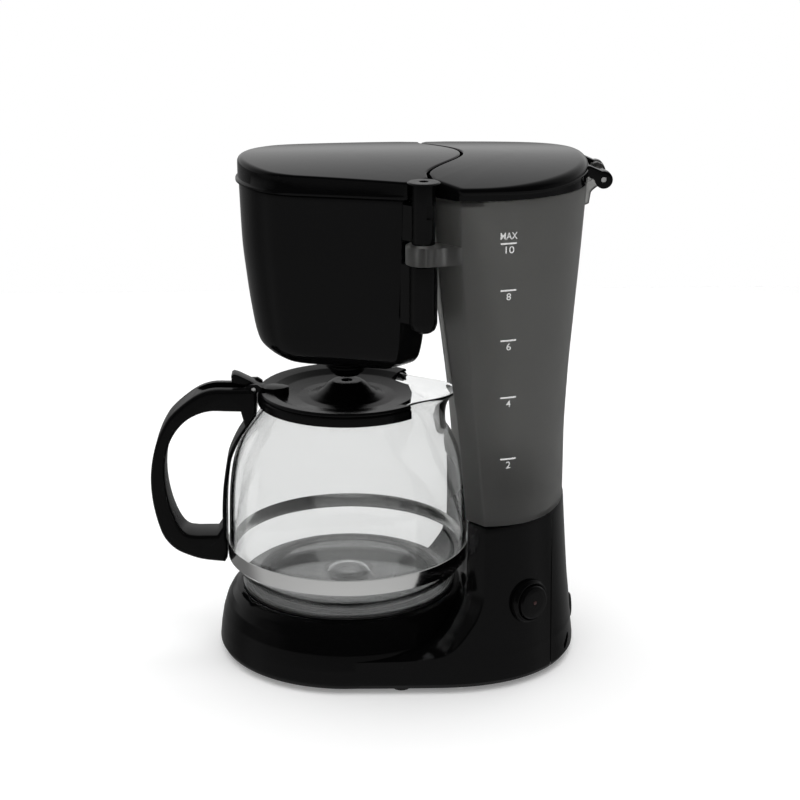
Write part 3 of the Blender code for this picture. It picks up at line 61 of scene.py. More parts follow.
# ------------------------------------------------------------------ camera, light and floor
LENS_MM, SENSOR_MM = 85.0, 36.0
CAMERA_AT = (-0.0223, -1.0404, 0.4795)
CAMERA_DIP, CAMERA_TURN = 17.57, -2.0                  # degrees below the horizon, and to the right
FLOOR_HALF, FLOOR_WHITE, FLOOR_GLOW = 0.85, 0.94, 0.20
LAMPS = (
    # name, place, target, size in metres, power in watts
    ("ceiling", (0.0, -0.1, 1.7), (0, 0, 0.1), (2.4, 2.4), 34.0),
    ("front_fill", (-0.5, -1.9, 1.1), (0, 0, 0.12), (1.6, 1.2), 9.0),
)
# Brightness of the room in reflections. Each ramp runs over a direction's part along one axis, from -1 to 1.
ROOM_BY_DEPTH = ((0.0, 0.02), (0.40, 0.05), (0.62, 0.42), (0.85, 0.76))      # viewer's side to far side
ROOM_BY_SIDE = ((0.5, 0.0), (0.90, 0.02), (0.98, 0.22), (1.0, 0.36))         # middle to either side
ROOM_BY_HEIGHT = ((0.0, 0.0), (0.46, 0.3), (0.56, 1.0), (1.0, 0.9))          # floor to ceiling
ROOM_FLOOR = ((0.0, 0.62), (0.40, 0.52), (0.485, 0.26), (0.52, 0.0))         # pale floor, fading at the wall
FLOOR_BY_DEPTH = ((0.0, 1.0), (0.45, 0.85), (0.70, 0.32), (1.0, 0.25))       # and darker at its far side


def add_camera():
    data = bpy.data.cameras.new("camera")
    data.lens = LENS_MM
    data.sensor_width = SENSOR_MM
    data.clip_end = 20.0
    camera = bpy.data.objects.new("camera", data)
    camera.location = CAMERA_AT
    camera.rotation_euler = (math.radians(90 - CAMERA_DIP), 0.0, math.radians(CAMERA_TURN))
    SCENE.collection.objects.link(camera)
    SCENE.camera = camera


def add_lamp(name, place, target, size, power):
    """Soft lamp that isn't seen itself, directly or in a reflection."""
    data = bpy.data.lights.new(name, "AREA")
    data.shape = "RECTANGLE"
    data.size, data.size_y = size
    data.energy = power
    lamp = bpy.data.objects.new(name, data)
    lamp.location = place
    lamp.rotation_euler = (Vector(target) - Vector(place)).to_track_quat("-Z", "Y").to_euler()
    lamp.visible_camera = lamp.visible_glossy = lamp.visible_transmission = False
    SCENE.collection.objects.link(lamp)


def add_world():
    """White room: plain white behind the object, and a softer, side-lit room in its reflections."""
    world = bpy.data.worlds.new("studio")
    world.use_nodes = True
    SCENE.world = world
    tree = world.node_tree
    tree.nodes.clear()
    new, link = tree.nodes.new, tree.links.new
    out = new("ShaderNodeOutputWorld")
    coords = new("ShaderNodeTexCoord")
    axes = new("ShaderNodeSeparateXYZ")
    link(coords.outputs["Generated"], axes.inputs[0])

    def ramp(source, stops):
        node = new("ShaderNodeValToRGB")
        node.color_ramp.interpolation = "EASE"
        while len(node.color_ramp.elements) < len(stops):
            node.color_ramp.elements.new(0.5)
        for element, (place, value) in zip(node.color_ramp.elements, stops):
            element.position = place
            element.color = (value, value, value, 1.0)
        to_unit = new("ShaderNodeMapRange")
        to_unit.inputs["From Min"].default_value = -1.0
        link(source, to_unit.inputs["Value"])
        link(to_unit.outputs[0], node.inputs[0])
        return node.outputs[0]

    def math_node(operation, first, second):
        node = new("ShaderNodeMath")
        node.operation = operation
        for socket, value in zip(node.inputs, (first, second)):
            if isinstance(value, (int, float)):
                socket.default_value = value
            else:
                link(value, socket)
        return node.outputs[0]

    sideways = math_node("ABSOLUTE", axes.outputs[0], 0.0)
    walls = math_node("MAXIMUM", ramp(axes.outputs[1], ROOM_BY_DEPTH), ramp(sideways, ROOM_BY_SIDE))
    walls = math_node("MULTIPLY", walls, ramp(axes.outputs[2], ROOM_BY_HEIGHT))
    ground = math_node("MULTIPLY", ramp(axes.outputs[2], ROOM_FLOOR), ramp(axes.outputs[1], FLOOR_BY_DEPTH))
    shade = math_node("MAXIMUM", walls, ground)
    room, white = new("ShaderNodeBackground"), new("ShaderNodeBackground")
    link(shade, room.inputs["Color"])
    white.inputs["Color"].default_value = (1, 1, 1, 1)
    rays = new("ShaderNodeLightPath")
    seen = math_node("MAXIMUM", rays.outputs["Is Camera Ray"], rays.outputs["Is Transmission Ray"])
    mix = new("ShaderNodeMixShader")
    for source, socket in zip((seen, room.outputs[0], white.outputs[0]), mix.inputs):
        link(source, socket)
    link(mix.outputs[0], out.inputs["Surface"])


def add_floor():
    side = FLOOR_HALF
    mesh = bpy.data.meshes.new("floor")
    corners = [(-side, -side, 0), (side, -side, 0), (side, side, 0), (-side, side, 0)]
    mesh.from_pydata(corners, [], [(0, 1, 2, 3)])
    floor = bpy.data.objects.new("floor", mesh)
    SCENE.collection.objects.link(floor)
    paper = plain_material("floor_paper")
    inputs = paper.node_tree.nodes["Principled BSDF"].inputs
    inputs["Base Color"].default_value = (FLOOR_WHITE, FLOOR_WHITE, FLOOR_WHITE, 1)
    inputs["Roughness"].default_value = 0.9
    inputs["Specular IOR Level"].default_value = 0.1
    inputs["Emission Color"].default_value = (1, 1, 1, 1)
    inputs["Emission Strength"].default_value = FLOOR_GLOW
    mesh.materials.append(paper)
    floor.visible_glossy = False


def add_studio():
    SCENE.view_settings.view_transform = "Standard"
    add_camera()
    add_world()
    add_floor()
    for lamp in LAMPS:
        add_lamp(*lamp)


# ------------------------------------------------------------------ materials
def plain_material(name):
    mat = bpy.data.materials.new(name)
    mat.use_nodes = True
    return mat


class Finish:
    """A Principled material with helpers for procedural roughness and relief."""

    def __init__(self, name, colour, roughness, metallic=0.0, specular=0.5, **sockets):
        self.mat = plain_material(name)
        self.tree = self.mat.node_tree
        self.shader = self.tree.nodes["Principled BSDF"]
        self.shader.inputs["Base Color"].default_value = (*colour, 1.0)
        self.shader.inputs["Roughness"].default_value = roughness
        self.shader.inputs["Metallic"].default_value = metallic
        self.shader.inputs["Specular IOR Level"].default_value = specular
        for key, value in sockets.items():
            self.shader.inputs[key.replace("_", " ")].default_value = value
        self.coords = self.tree.nodes.new("ShaderNodeTexCoord")
        self.relief = None

    def link(self, a, b):
        self.tree.links.new(a, b)

    def node(self, kind, **values):
        node = self.tree.nodes.new("ShaderNode" + kind)
        for key, value in values.items():
            node.inputs[key.replace("_", " ")].default_value = value
        return node

    def place(self, scale):
        """Object coordinates stretched by a scale on each axis, in cycles per metre."""
        mapping = self.node("Mapping")
        mapping.inputs["Scale"].default_value = scale
        self.link(self.coords.outputs["Object"], mapping.inputs["Vector"])
        return mapping.outputs[0]

    def noise(self, scale, detail):
        stretch = scale if isinstance(scale, tuple) else (scale, scale, scale)
        node = self.node("TexNoise", Scale=1.0, Detail=detail)
        self.link(self.place(stretch), node.inputs["Vector"])
        return node.outputs[0]

    def span(self, value, low, high):
        """A noise value's middle part, spread from low to high."""
        node = self.node("MapRange", From_Min=0.3, From_Max=0.7, To_Min=low, To_Max=high)
        self.link(value, node.inputs["Value"])
        return node.outputs[0]

    def rough(self, value, low, high):
        self.link(self.span(value, low, high), self.shader.inputs["Roughness"])

    def tint(self, value, dark, light):
        mix = self.node("Mix")
        mix.data_type = "RGBA"
        self.link(self.span(value, 0.0, 1.0), mix.inputs[0])
        mix.inputs[6].default_value = (*dark, 1.0)
        mix.inputs[7].default_value = (*light, 1.0)
        self.link(mix.outputs[2], self.shader.inputs["Base Color"])

    def bump(self, value, strength, distance):
        node = self.node("Bump", Strength=strength, Distance=distance)
        self.link(value, node.inputs["Height"])
        if self.relief is not None:
            self.link(self.relief, node.inputs["Normal"])
        self.relief = node.outputs[0]
        self.link(self.relief, self.shader.inputs["Normal"])

    def lets_lamps_through(self, tint):
        """Lamp light passes through the walls, dimmed by a tint, instead of casting a solid shadow."""
        rays = self.node("LightPath")
        clear = self.node("BsdfTransparent")
        clear.inputs["Color"].default_value = (*tint, 1.0)
        mix = self.node("MixShader")
        out = self.tree.nodes["Material Output"]
        self.link(rays.outputs["Is Shadow Ray"], mix.inputs[0])
        self.link(self.shader.outputs[0], mix.inputs[1])
        self.link(clear.outputs[0], mix.inputs[2])
        self.link(mix.outputs[0], out.inputs["Surface"])


def finish(name, colour, roughness, spots, *reliefs, clear=None, **values):
    """Material whose roughness wanders and whose skin has fine relief.

    The spots are (noise scale, detail, least roughness, most). Each relief is (noise scale, detail, strength,
    height in metres). A clear material says what it leaves of lamp light that passes through.
    """
    f = Finish(name, colour, roughness, **values)
    if spots:
        scale, detail, low, high = spots
        f.rough(f.noise(scale, detail), low, high)
    for scale, detail, strength, height in reliefs:
        f.bump(f.noise(scale, detail), strength, height)
    if clear:
        f.lets_lamps_through(clear)
    return f.mat


def plate_coating():
    """Coated steel, turned in fine rings round the jug's axis."""
    f = Finish("coated_plate", (0.115, 0.115, 0.115), 0.18, metallic=0.9)
    move, flat, length = (f.node("VectorMath") for _ in range(3))
    move.operation, flat.operation, length.operation = "SUBTRACT", "MULTIPLY", "LENGTH"
    move.inputs[1].default_value = (AXIS_X, 0.0, 0.0)
    flat.inputs[1].default_value = (1.0, 1.0, 0.0)
    f.link(f.coords.outputs["Object"], move.inputs[0])
    f.link(move.outputs[0], flat.inputs[0])
    f.link(flat.outputs[0], length.inputs[0])
    rings = f.node("TexNoise", Scale=1500.0, Detail=4.0)
    rings.noise_dimensions = "1D"
    f.link(length.outputs["Value"], rings.inputs["W"])
    f.rough(rings.outputs[0], 0.15, 0.28)
    f.bump(rings.outputs[0], 0.22, 0.00008)
    f.tint(f.noise(60.0, 4.0), (0.10, 0.10, 0.10), (0.14, 0.14, 0.14))
    return f.mat


def white_ink():
    """Printed ink, a little uneven at its own scale."""
    f = Finish("white_ink", (0.86, 0.86, 0.85), 0.5, specular=0.3)
    f.tint(f.noise(1400.0, 4.0), (0.76, 0.76, 0.75), (0.92, 0.92, 0.91))
    f.bump(f.noise(2600.0, 3.0), 0.2, 0.00004)
    return f.mat


BLACK = finish("moulded_gloss_black", (0.0018, 0.0018, 0.0019), 0.07, (38.0, 4.0, 0.05, 0.09),
               (170.0, 2.0, 0.05, 0.0004), (2600.0, 2.0, 0.03, 0.00004), specular=0.115)
SATIN = finish("moulded_satin_black", (0.0026, 0.0026, 0.0027), 0.24, (60.0, 4.0, 0.19, 0.28),
               (240.0, 2.0, 0.05, 0.0004), (3200.0, 3.0, 0.10, 0.00005), specular=0.085)
SMOKE = finish("smoky_translucent_plastic", (0.262, 0.262, 0.255), 0.34, (45.0, 3.0, 0.30, 0.38),
               (130.0, 2.0, 0.06, 0.0005), clear=(0.24, 0.24, 0.23), specular=0.2,
               Transmission_Weight=0.94, IOR=1.49)
GLASS = finish("blown_clear_glass", (0.845, 0.85, 0.848), 0.0, None, ((26.0, 26.0, 9.0), 2.0, 0.05, 0.0010),
               clear=(0.93, 0.94, 0.935), Transmission_Weight=1.0, IOR=1.47)
BAND = finish("polished_steel", (0.80, 0.80, 0.79), 0.11, ((30.0, 30.0, 5200.0), 3.0, 0.07, 0.20),
              ((18.0, 18.0, 6500.0), 2.0, 0.06, 0.00004), metallic=1.0)
STEEL = finish("plated_steel", (0.62, 0.62, 0.61), 0.28, (420.0, 4.0, 0.20, 0.38),
               (900.0, 3.0, 0.12, 0.00005), metallic=1.0)
PLATE = plate_coating()
ALUMINIUM = finish("cast_aluminium", (0.60, 0.60, 0.60), 0.45, (260.0, 4.0, 0.34, 0.58),
                   (1100.0, 4.0, 0.25, 0.0001), metallic=1.0)
RUBBER = finish("moulded_rubber", (0.018, 0.018, 0.018), 0.75, (300.0, 4.0, 0.62, 0.85),
                (1900.0, 3.0, 0.25, 0.0001), specular=0.35)
SILICONE = finish("milky_silicone", (0.66, 0.66, 0.63), 0.38, (200.0, 3.0, 0.30, 0.48),
                  (700.0, 2.0, 0.08, 0.0001), specular=0.45, Subsurface_Weight=0.25, Subsurface_Scale=0.002)
WHITE = finish("moulded_white_plastic", (0.70, 0.70, 0.68), 0.35, (120.0, 3.0, 0.28, 0.44),
               (1500.0, 3.0, 0.10, 0.00008))
LENS = finish("smoked_red_lens", (0.030, 0.006, 0.006), 0.18, (400.0, 3.0, 0.12, 0.25),
              (2500.0, 2.0, 0.15, 0.00006))
INK = white_ink()


# ------------------------------------------------------------------ outlines and curves
def follow(rows, heights):
    """Rows keyed by their first number, followed smoothly and without overshoot."""
    rows = np.array(rows, float)
    key, value = rows[:, 0], rows[:, 1:]
    step = np.diff(key)[:, None]
    slope = np.diff(value, axis=0) / step
    tangent = np.zeros_like(value)
    tangent[0], tangent[-1] = slope[0], slope[-1]
    for i in range(1, len(key) - 1):
        before, after = slope[i - 1], slope[i]
        w1, w2 = 2 * step[i] + step[i - 1], step[i] + 2 * step[i - 1]
        same = before * after > 0
        safe_b = np.where(same, before, 1.0)
        safe_a = np.where(same, after, 1.0)
        tangent[i] = np.where(same, (w1 + w2) / (w1 / safe_b + w2 / safe_a), 0.0)
    out = []
    for h in heights:
        i = int(np.clip(np.searchsorted(key, h, side="right") - 1, 0, len(key) - 2))
        d = key[i + 1] - key[i]
        t = (h - key[i]) / d
        out.append((2 * t ** 3 - 3 * t ** 2 + 1) * value[i] + (t ** 3 - 2 * t ** 2 + t) * d * tangent[i]
                   + (3 * t ** 2 - 2 * t ** 3) * value[i + 1] + (t ** 3 - t ** 2) * d * tangent[i + 1])
    return np.array(out)


def smooth_path(points, steps, closed=False):
    """Catmull-Rom curve through points, with a number of steps to each stretch."""
    pts = [np.array(p, float) for p in points]
    if closed:
        pts = [pts[-1]] + pts + pts[:2]
    else:
        pts = [2 * pts[0] - pts[1]] + pts + [2 * pts[-1] - pts[-2]]
    out = []
    for a, b, c, d in zip(pts, pts[1:], pts[2:], pts[3:]):
        for k in range(steps):
            t = k / steps
            out.append(0.5 * (2 * b + (c - a) * t + (2 * a - 5 * b + 4 * c - d) * t ** 2
                              + (3 * b - a - 3 * c + d) * t ** 3))
    if not closed:
        out.append(pts[-2])
    return [tuple(p) for p in out]


def fillet(points, radius, closed=True, steps=5):
    """Outline with rounded corners. A point may carry its own radius as a third number."""
    pts = [np.array(p[:2], float) for p in points]
    radii = [p[2] if len(p) > 2 else radius for p in points]
    count = len(pts)
    out = []
    for i, (p, r) in enumerate(zip(pts, radii)):
        if not closed and i in (0, count - 1):
            out.append(tuple(p))
            continue
        back, ahead = pts[i - 1] - p, pts[(i + 1) % count] - p
        lb, la = np.linalg.norm(back), np.linalg.norm(ahead)
        turn = math.pi - math.acos(np.clip(back @ ahead / (lb * la), -1, 1))
        if r <= 0 or turn < 0.02:
            out.append(tuple(p))
            continue
        reach = min(r * math.tan(turn / 2), 0.48 * lb, 0.48 * la)
        start, end = p + back / lb * reach, p + ahead / la * reach
        for k in range(steps + 1):
            t = k / steps
            out.append(tuple((1 - t) ** 2 * start + 2 * t * (1 - t) * p + t ** 2 * end))
    return out


def inset(outline, distance):
    """Counter-clockwise outline moved inwards. The distance may be one number or one for each point."""
    p = np.array(outline, float)[:, :2]
    back = p - np.roll(p, 1, axis=0)
    ahead = np.roll(p, -1, axis=0) - p
    n1 = np.stack([-back[:, 1], back[:, 0]], 1)
    n2 = np.stack([-ahead[:, 1], ahead[:, 0]], 1)
    n1 /= np.maximum(np.linalg.norm(n1, axis=1, keepdims=True), 1e-9)
    n2 /= np.maximum(np.linalg.norm(n2, axis=1, keepdims=True), 1e-9)
    mean = n1 + n2
    mean /= np.maximum(np.linalg.norm(mean, axis=1, keepdims=True), 1e-9)
    reach = np.broadcast_to(np.asarray(distance, float), (len(p),)) / np.maximum((mean * n1).sum(1), 0.5)
    return p + mean * reach[:, None]


def ring_of(points, shrink=0.0, radius=0.0, steps=5):
    """Outline whose points may carry a corner radius, moved inwards and then rounded.

    The shrink may be one distance or one for each point.
    """
    flat = inset([p[:2] for p in points], shrink)
    radii = [p[2] if len(p) > 2 else radius for p in points]
    moved = np.broadcast_to(np.asarray(shrink, float), (len(points),))
    return fillet([(*q, max(r - d, 0.12) if r > 0 else 0.0) for q, r, d in zip(flat, radii, moved)], 0.0,
                  steps=steps)


def rear_arc(centre, half_x, half_y, power, start_x, count):
    """Superellipse points from the near side, round the back, to the far side."""
    cos_start = (start_x - centre) / half_x
    start = math.acos(math.copysign(abs(cos_start) ** (power / 2), cos_start))
    points = []
    for i in range(count):
        angle = -start + 2 * start * i / (count - 1)
        c, s = math.cos(angle), math.sin(angle)
        points.append((centre + half_x * math.copysign(abs(c) ** (2 / power), c),
                       half_y * math.copysign(abs(s) ** (2 / power), s)))
    return points


def arc_through(tip_x, corner, count):
    """Arc from (corner x, +y) round the tip on the X axis to (corner x, -y)."""
    depth = corner[0] - tip_x
    radius = (corner[1] ** 2 + depth ** 2) / (2 * depth)
    centre = tip_x + radius
    half = math.atan2(corner[1], centre - corner[0])
    return [(centre - radius * math.cos(half * (1 - 2 * i / (count - 1))),
             radius * math.sin(half * (1 - 2 * i / (count - 1)))) for i in range(count)]


def hollow_front(edge_x, edge_y, scoop, count=29):
    """Front face from its far edge to its near one, hollowed towards the back."""
    points = []
    for i in range(count):
        y = edge_y * (1 - 2 * i / (count - 1))
        points.append((edge_x + scoop * (1 - (y / edge_y) ** 2), y))
    return points


def sharp(points):
    """The same points, each marked as a corner that isn't rounded."""
    return [(x, y, 0.0) for x, y in points]


def mirrored(points):
    return [(x, -y) for x, y in points]


# ------------------------------------------------------------------ meshes
QUARTER = [math.radians(a) for a in (0, 22.5, 45, 67.5, 90)]
WELD, SLIVER = 0.000004, 0.000002                      # metres


def from_faces(name, points, faces):
    """Mesh object from points in millimetres from the jug's axis."""
    mesh = bpy.data.meshes.new(name)
    mesh.from_pydata([tuple(P(*p)) for p in points], [], faces)
    bm = bmesh.new()
    bm.from_mesh(mesh)
    bmesh.ops.recalc_face_normals(bm, faces=bm.faces)
    bm.to_mesh(mesh)
    bm.free()
    obj = bpy.data.objects.new(name, mesh)
    SCENE.collection.objects.link(obj)
    return obj


def skin(name, rings, looped=False):
    """Closed skin through rings of equally many points. A ring of one point closes a pole.

    Looped rings join the last to the first, as round a hollow wall; otherwise the ends are capped.
    """
    points, starts, faces = [], [], []
    for ring in rings:
        starts.append((len(points), len(ring)))
        points += [tuple(p) for p in ring]
    pairs = list(zip(starts, starts[1:]))
    if looped:
        pairs.append((starts[-1], starts[0]))
    for (a, na), (b, nb) in pairs:
        if na == nb == 1:
            continue
        for i in range(max(na, nb)):
            j = (i + 1) % max(na, nb)
            if na == 1:
                faces.append((a, b + j, b + i))
            elif nb == 1:
                faces.append((a + i, a + j, b))
            else:
                faces.append((a + i, a + j, b + j, b + i))
    if not looped:
        first, last = starts[0], starts[-1]
        if first[1] > 1:
            faces.append(tuple(range(first[0] + first[1] - 1, first[0] - 1, -1)))
        if last[1] > 1:
            faces.append(tuple(range(last[0], last[0] + last[1])))
    return from_faces(name, points, faces)


def swept_round(name, path, place, steps, closed=False):
    """Solid turned round an axis. Place gives the point at a height along it and two distances across it."""
    angles = [2 * math.pi * i / steps for i in range(steps)]
    rings = []
    for r, height in path:
        if r < 1e-6:
            rings.append([place(height, 0.0, 0.0)])
        else:
            rings.append([place(height, r * math.cos(a), r * math.sin(a)) for a in angles])
    return skin(name, rings, looped=closed)


def turned(name, profile, centre=(0.0, 0.0), steps=96, radius=0.0, closed=False):
    """Upright turned solid. The profile is (radius, height) points from pole to pole, or a closed loop."""
    path = [p[:2] for p in profile]
    if radius > 0 or any(len(p) > 2 for p in profile):
        path = fillet(profile, radius, closed=closed, steps=4)
    return swept_round(name, path, lambda z, a, b: (centre[0] + a, centre[1] + b, z), steps, closed)


def turned_x(name, z, profile, steps=48):
    """Solid turned round an axis along X. The profile is (radius, u) points."""
    return swept_round(name, profile, lambda u, a, b: (u, a, z + b), steps)


def lifted(outline, z):
    return [(p[0], p[1], z) for p in outline]


def plan_solid(name, outline, low, high, rounding=0.0, radius=0.0):
    """Upright solid from a counter-clockwise plan outline, with rounded corners and rims if asked."""
    levels = [(low, 0.0), (high, 0.0)]
    if rounding:
        rim = [(rounding * (1 - math.sin(a)), rounding * (1 - math.cos(a))) for a in QUARTER]
        levels = [(low + up, d) for up, d in rim[::-1]] + [(high - down, d) for down, d in rim]
    return skin(name, [lifted(ring_of(outline, d, radius), z) for z, d in levels])


def side_solid(name, outline, low, high, rounding=0.0, radius=0.0):
    """Solid from an (u, z) side outline, counter-clockwise, between two y values."""
    obj = plan_solid(name, outline, low, high, rounding, radius)
    back = Matrix.Translation((AXIS_X, 0, 0)) @ Matrix(
        ((1, 0, 0, 0), (0, 0, 1, 0), (0, 1, 0, 0), (0, 0, 0, 1))) @ Matrix.Translation((-AXIS_X, 0, 0))
    obj.data.transform(back)
    obj.data.flip_normals()
    return obj


def side_pair(name, outline, inner, outer, rounding, radius=0.0):
    """The same side solid on the near and the far side, between two distances from the middle."""
    return [side_solid(f"{name}_{side}", outline, *sorted((side * inner, side * outer)), rounding, radius)
            for side in (-1, 1)]


def block(name, low, high):
    (x0, y0, z0), (x1, y1, z1) = low, high
    return plan_solid(name, [(x0, y0), (x1, y0), (x1, y1), (x0, y1)], z0, z1)


def peg(name, u, y, radius, low, high, steps=40):
    return turned(name, [(0, low), (radius, low), (radius, high), (0, high)], (u, y), steps)


def cross_peg(name, u, z, radius, low, high, steps=32):
    """Cylinder along Y."""
    ring = [(u + radius * math.cos(2 * math.pi * i / steps), z + radius * math.sin(2 * math.pi * i / steps))
            for i in range(steps)]
    return side_solid(name, ring, low, high)


def boolean(obj, operation, others):
    """Joins to other solids or cuts with them, and then removes those."""
    for other in others:
        mod = obj.modifiers.new(operation.lower(), "BOOLEAN")
        mod.operation = operation
        mod.solver = "EXACT"
        mod.object = other
    settle(obj)
    for other in others:
        bpy.data.objects.remove(other)


def join(obj, others):
    boolean(obj, "UNION", others)


def cut(obj, others):
    boolean(obj, "DIFFERENCE", others)


def settle(obj):
    """Replaces an object's modifiers by their result."""
    bpy.context.view_layer.update()
    graph = bpy.context.evaluated_depsgraph_get()
    mesh = bpy.data.meshes.new_from_object(obj.evaluated_get(graph))
    obj.modifiers.clear()
    obj.data = mesh


def clean(obj, angle=32.0):
    """Welds, drops slivers, closes hairline gaps and sets smooth shading with sharp edges past an angle."""
    bm = bmesh.new()
    bm.from_mesh(obj.data)
    bmesh.ops.remove_doubles(bm, verts=bm.verts, dist=WELD)
    bmesh.ops.dissolve_degenerate(bm, edges=bm.edges, dist=SLIVER)
    bmesh.ops.holes_fill(bm, edges=[e for e in bm.edges if e.is_boundary], sides=0)
    bm.to_mesh(obj.data)
    bm.free()
    obj.data.shade_smooth()
    obj.data.set_sharp_from_angle(angle=math.radians(angle))


def settle_piece(obj, mat, body, slot, *nodes, angle=32.0):
    """Last step of a piece: shading, material, the body it rides on and the CAD nodes it stands for."""
    clean(obj, angle)
    obj.data.materials.clear()
    obj.data.materials.append(mat)
    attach(obj, body)
    if nodes:
        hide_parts(*nodes)


# ------------------------------------------------------------------ base
BASE_ROWS = (
    # height, rear half length, half width, half width at the jug, front corner, front hollow
    (3.2, 81.4, 75.6, 74.8, 3.0, 0.0), (6.1, 83.2, 77.4, 76.4, 3.0, 0.0),
    (19.2, 82.0, 77.0, 75.0, 3.0, 0.0), (20.3, 82.0, 76.9, 74.8, 32.0, 2.0),
    (23.4, 81.6, 76.6, 74.4, 52.5, 4.0), (29.0, 81.0, 76.3, 74.4, 60.5, 6.0),
    (36.7, 80.2, 76.0, 74.4, 66.5, 7.5), (46.1, 79.2, 75.6, 74.4, 72.0, 8.7),
    (59.0, 78.2, 75.1, 74.4, 75.4, 8.7), (97.0, 75.6, 73.6, 74.4, 75.8, 8.7),
)
CABIN_U, CABIN_POWER, ARC_START = 50.0, 2.2, 85.0       # middle and squareness of the column's rounded back
BASE_PROFILE = ((0.0, 39.8), (63.8, 39.8, 3.0), (66.2, 38.9, 2.0), (69.4, 35.6, 6.0), (72.0, 30.6, 8.0),
                (74.3, 23.0, 10.0), (75.8, 14.0, 10.0), (76.6, 6.0, 3.0), (74.9, 3.0, 0.8), (0.0, 3.0))
BASE_HOLLOW = ((0.0, 37.4), (62.0, 37.4), (66.8, 34.4), (71.6, 23.0), (73.2, 14.0), (74.0, 6.0), (72.4, 1.0),
               (0.0, 1.0))
SEAM_U, SEAM_HALF = 115.5, 0.25
PLATE_OPENING_R = 57.0
VALVE_U, RISER_U = 98.0, 82.5
GLAND_Z, GLAND_R, GLAND_RECESS_R, GLAND_RECESS_U = 20.0, 5.4, 8.0, 130.9
VENT_AT, VENT_TILT, VENT_TURN = (126.4, -32.6, 11.8), math.radians(30), math.radians(24)
VENT_HALF_LENGTH, VENT_HALF_HEIGHT = 5.6, 2.0
BUTTON_AT = (100.9, -60.7, 49.6)
BUTTON_TURN, BUTTON_TILT = math.radians(36.3), math.radians(3.0)
BUTTON_HOLE_R, LENS_R = 10.8, 1.5
FAR = 200


def base_ring(values, shrink=0.0):
    """Plan of the column: rounded back, side walls, front corners and a hollowed front."""
    half_x, half_y, jug_y, corner, scoop = values
    stretch = []
    clear = min(2.8, 0.3 * (ARC_START - corner))       # room beside the corner for its rounding
    for i in range(20):
        x = corner + (clear + (ARC_START - corner - clear) * (i - 1) / 19 if i else 0.0)
        if x > CABIN_U:
            y = half_y * (1 - abs((x - CABIN_U) / half_x) ** CABIN_POWER) ** (1 / CABIN_POWER)
        else:
            y = half_y + (jug_y - half_y) * (1 - x / CABIN_U) ** 2
        stretch.append((x, y))
    arc = rear_arc(CABIN_U, half_x, half_y, CABIN_POWER, ARC_START, 61)
    front = hollow_front(corner - 10.0, stretch[0][1] - 11.0, scoop)
    corner_far, edge_far = (*stretch[0], 1.6), (*front[0], 5.0)
    corner_near, edge_near = (stretch[0][0], -stretch[0][1], 1.6), (*front[-1], 5.0)
    ring = ([corner_near] + sharp(mirrored(stretch[1:])) + sharp(arc) + sharp(stretch[:0:-1])
            + [corner_far, edge_far] + sharp(front[1:-1]) + [edge_near])
    return ring_of(ring, shrink, steps=4)


def column(name, shrink, low, high):
    heights = np.unique(np.concatenate([
        np.linspace(3.2, 19.2, 7), np.linspace(19.2, 24.0, 17), np.linspace(24.0, 60.0, 25),
        np.linspace(60.0, 96.2, 9), [96.6, 97.0]]))
    rounding = np.interp(heights, [3.2, 3.8, 96.2, 96.6, 97.0], [0.0, 0.0, 0.0, 0.12, 0.55])
    rings = []
    for h, values, r in zip(heights, follow(BASE_ROWS, heights), rounding):
        rings.append(lifted(base_ring(values, shrink + r), h))
    rings[0] = lifted(rings[0], low)
    if high is not None:
        rings[-1] = lifted(rings[-1], high)
    return skin(name, rings)


def button_point(depth, side, up):
    """Point on the button's axis, a distance out of the skin, then sideways and upwards."""
    level = math.cos(BUTTON_TILT) * depth - math.sin(BUTTON_TILT) * up
    u = BUTTON_AT[0] + math.sin(BUTTON_TURN) * level + math.cos(BUTTON_TURN) * side
    y = BUTTON_AT[1] - math.cos(BUTTON_TURN) * level + math.sin(BUTTON_TURN) * side
    return (u, y, BUTTON_AT[2] + math.sin(BUTTON_TILT) * depth + math.cos(BUTTON_TILT) * up)


def button_turned(name, profile, radius, closed=False, steps=96):
    """Piece turned round the button's axis. The profile is (radius, depth) points."""
    path = fillet(profile, radius, closed=closed, steps=4)
    return swept_round(name, path, button_point, steps, closed)


def make_base():
    shell = turned("base_body", BASE_PROFILE, steps=180)
    join(shell, [column("column_outside", 0.0, 3.2, None)])
    cut(shell, [
        turned("base_hollow", BASE_HOLLOW, steps=90), column("column_inside", 2.4, 0.6, 94.6),
        peg("plate_hole", 0.0, 0.0, PLATE_OPENING_R, 30, 50, 120),
        button_turned("button_hole", [(0, -15), (BUTTON_HOLE_R, -15), (BUTTON_HOLE_R, 12), (0, 12)], 0.0,
                      steps=64),
        peg("valve_hole", VALVE_U, 0.0, 8.2, 90, 100), peg("riser_hole", RISER_U, 0.0, 5.4, 90, 100)])
    rear = shell.copy()
    rear.data = shell.data.copy()
    rear.name = "rear_shell"
    SCENE.collection.objects.link(rear)
    cut(shell, [block("front_part", (SEAM_U - SEAM_HALF, -FAR, -FAR), (FAR, FAR, FAR))])
    cut(rear, [
        block("rear_part", (-FAR, -FAR, -FAR), (SEAM_U + SEAM_HALF, FAR, FAR)),
        turned_x("gland_hole", GLAND_Z, [
            (0, 100), (GLAND_R, 100), (GLAND_R, GLAND_RECESS_U), (GLAND_RECESS_R, GLAND_RECESS_U),
            (GLAND_RECESS_R, 160), (0, 160)]),
        vent_slot()])
    settle_piece(shell, BLACK, "machine", "gloss_black", "base_housing")
    settle_piece(rear, BLACK, "machine", "gloss_black", "rear_cover")


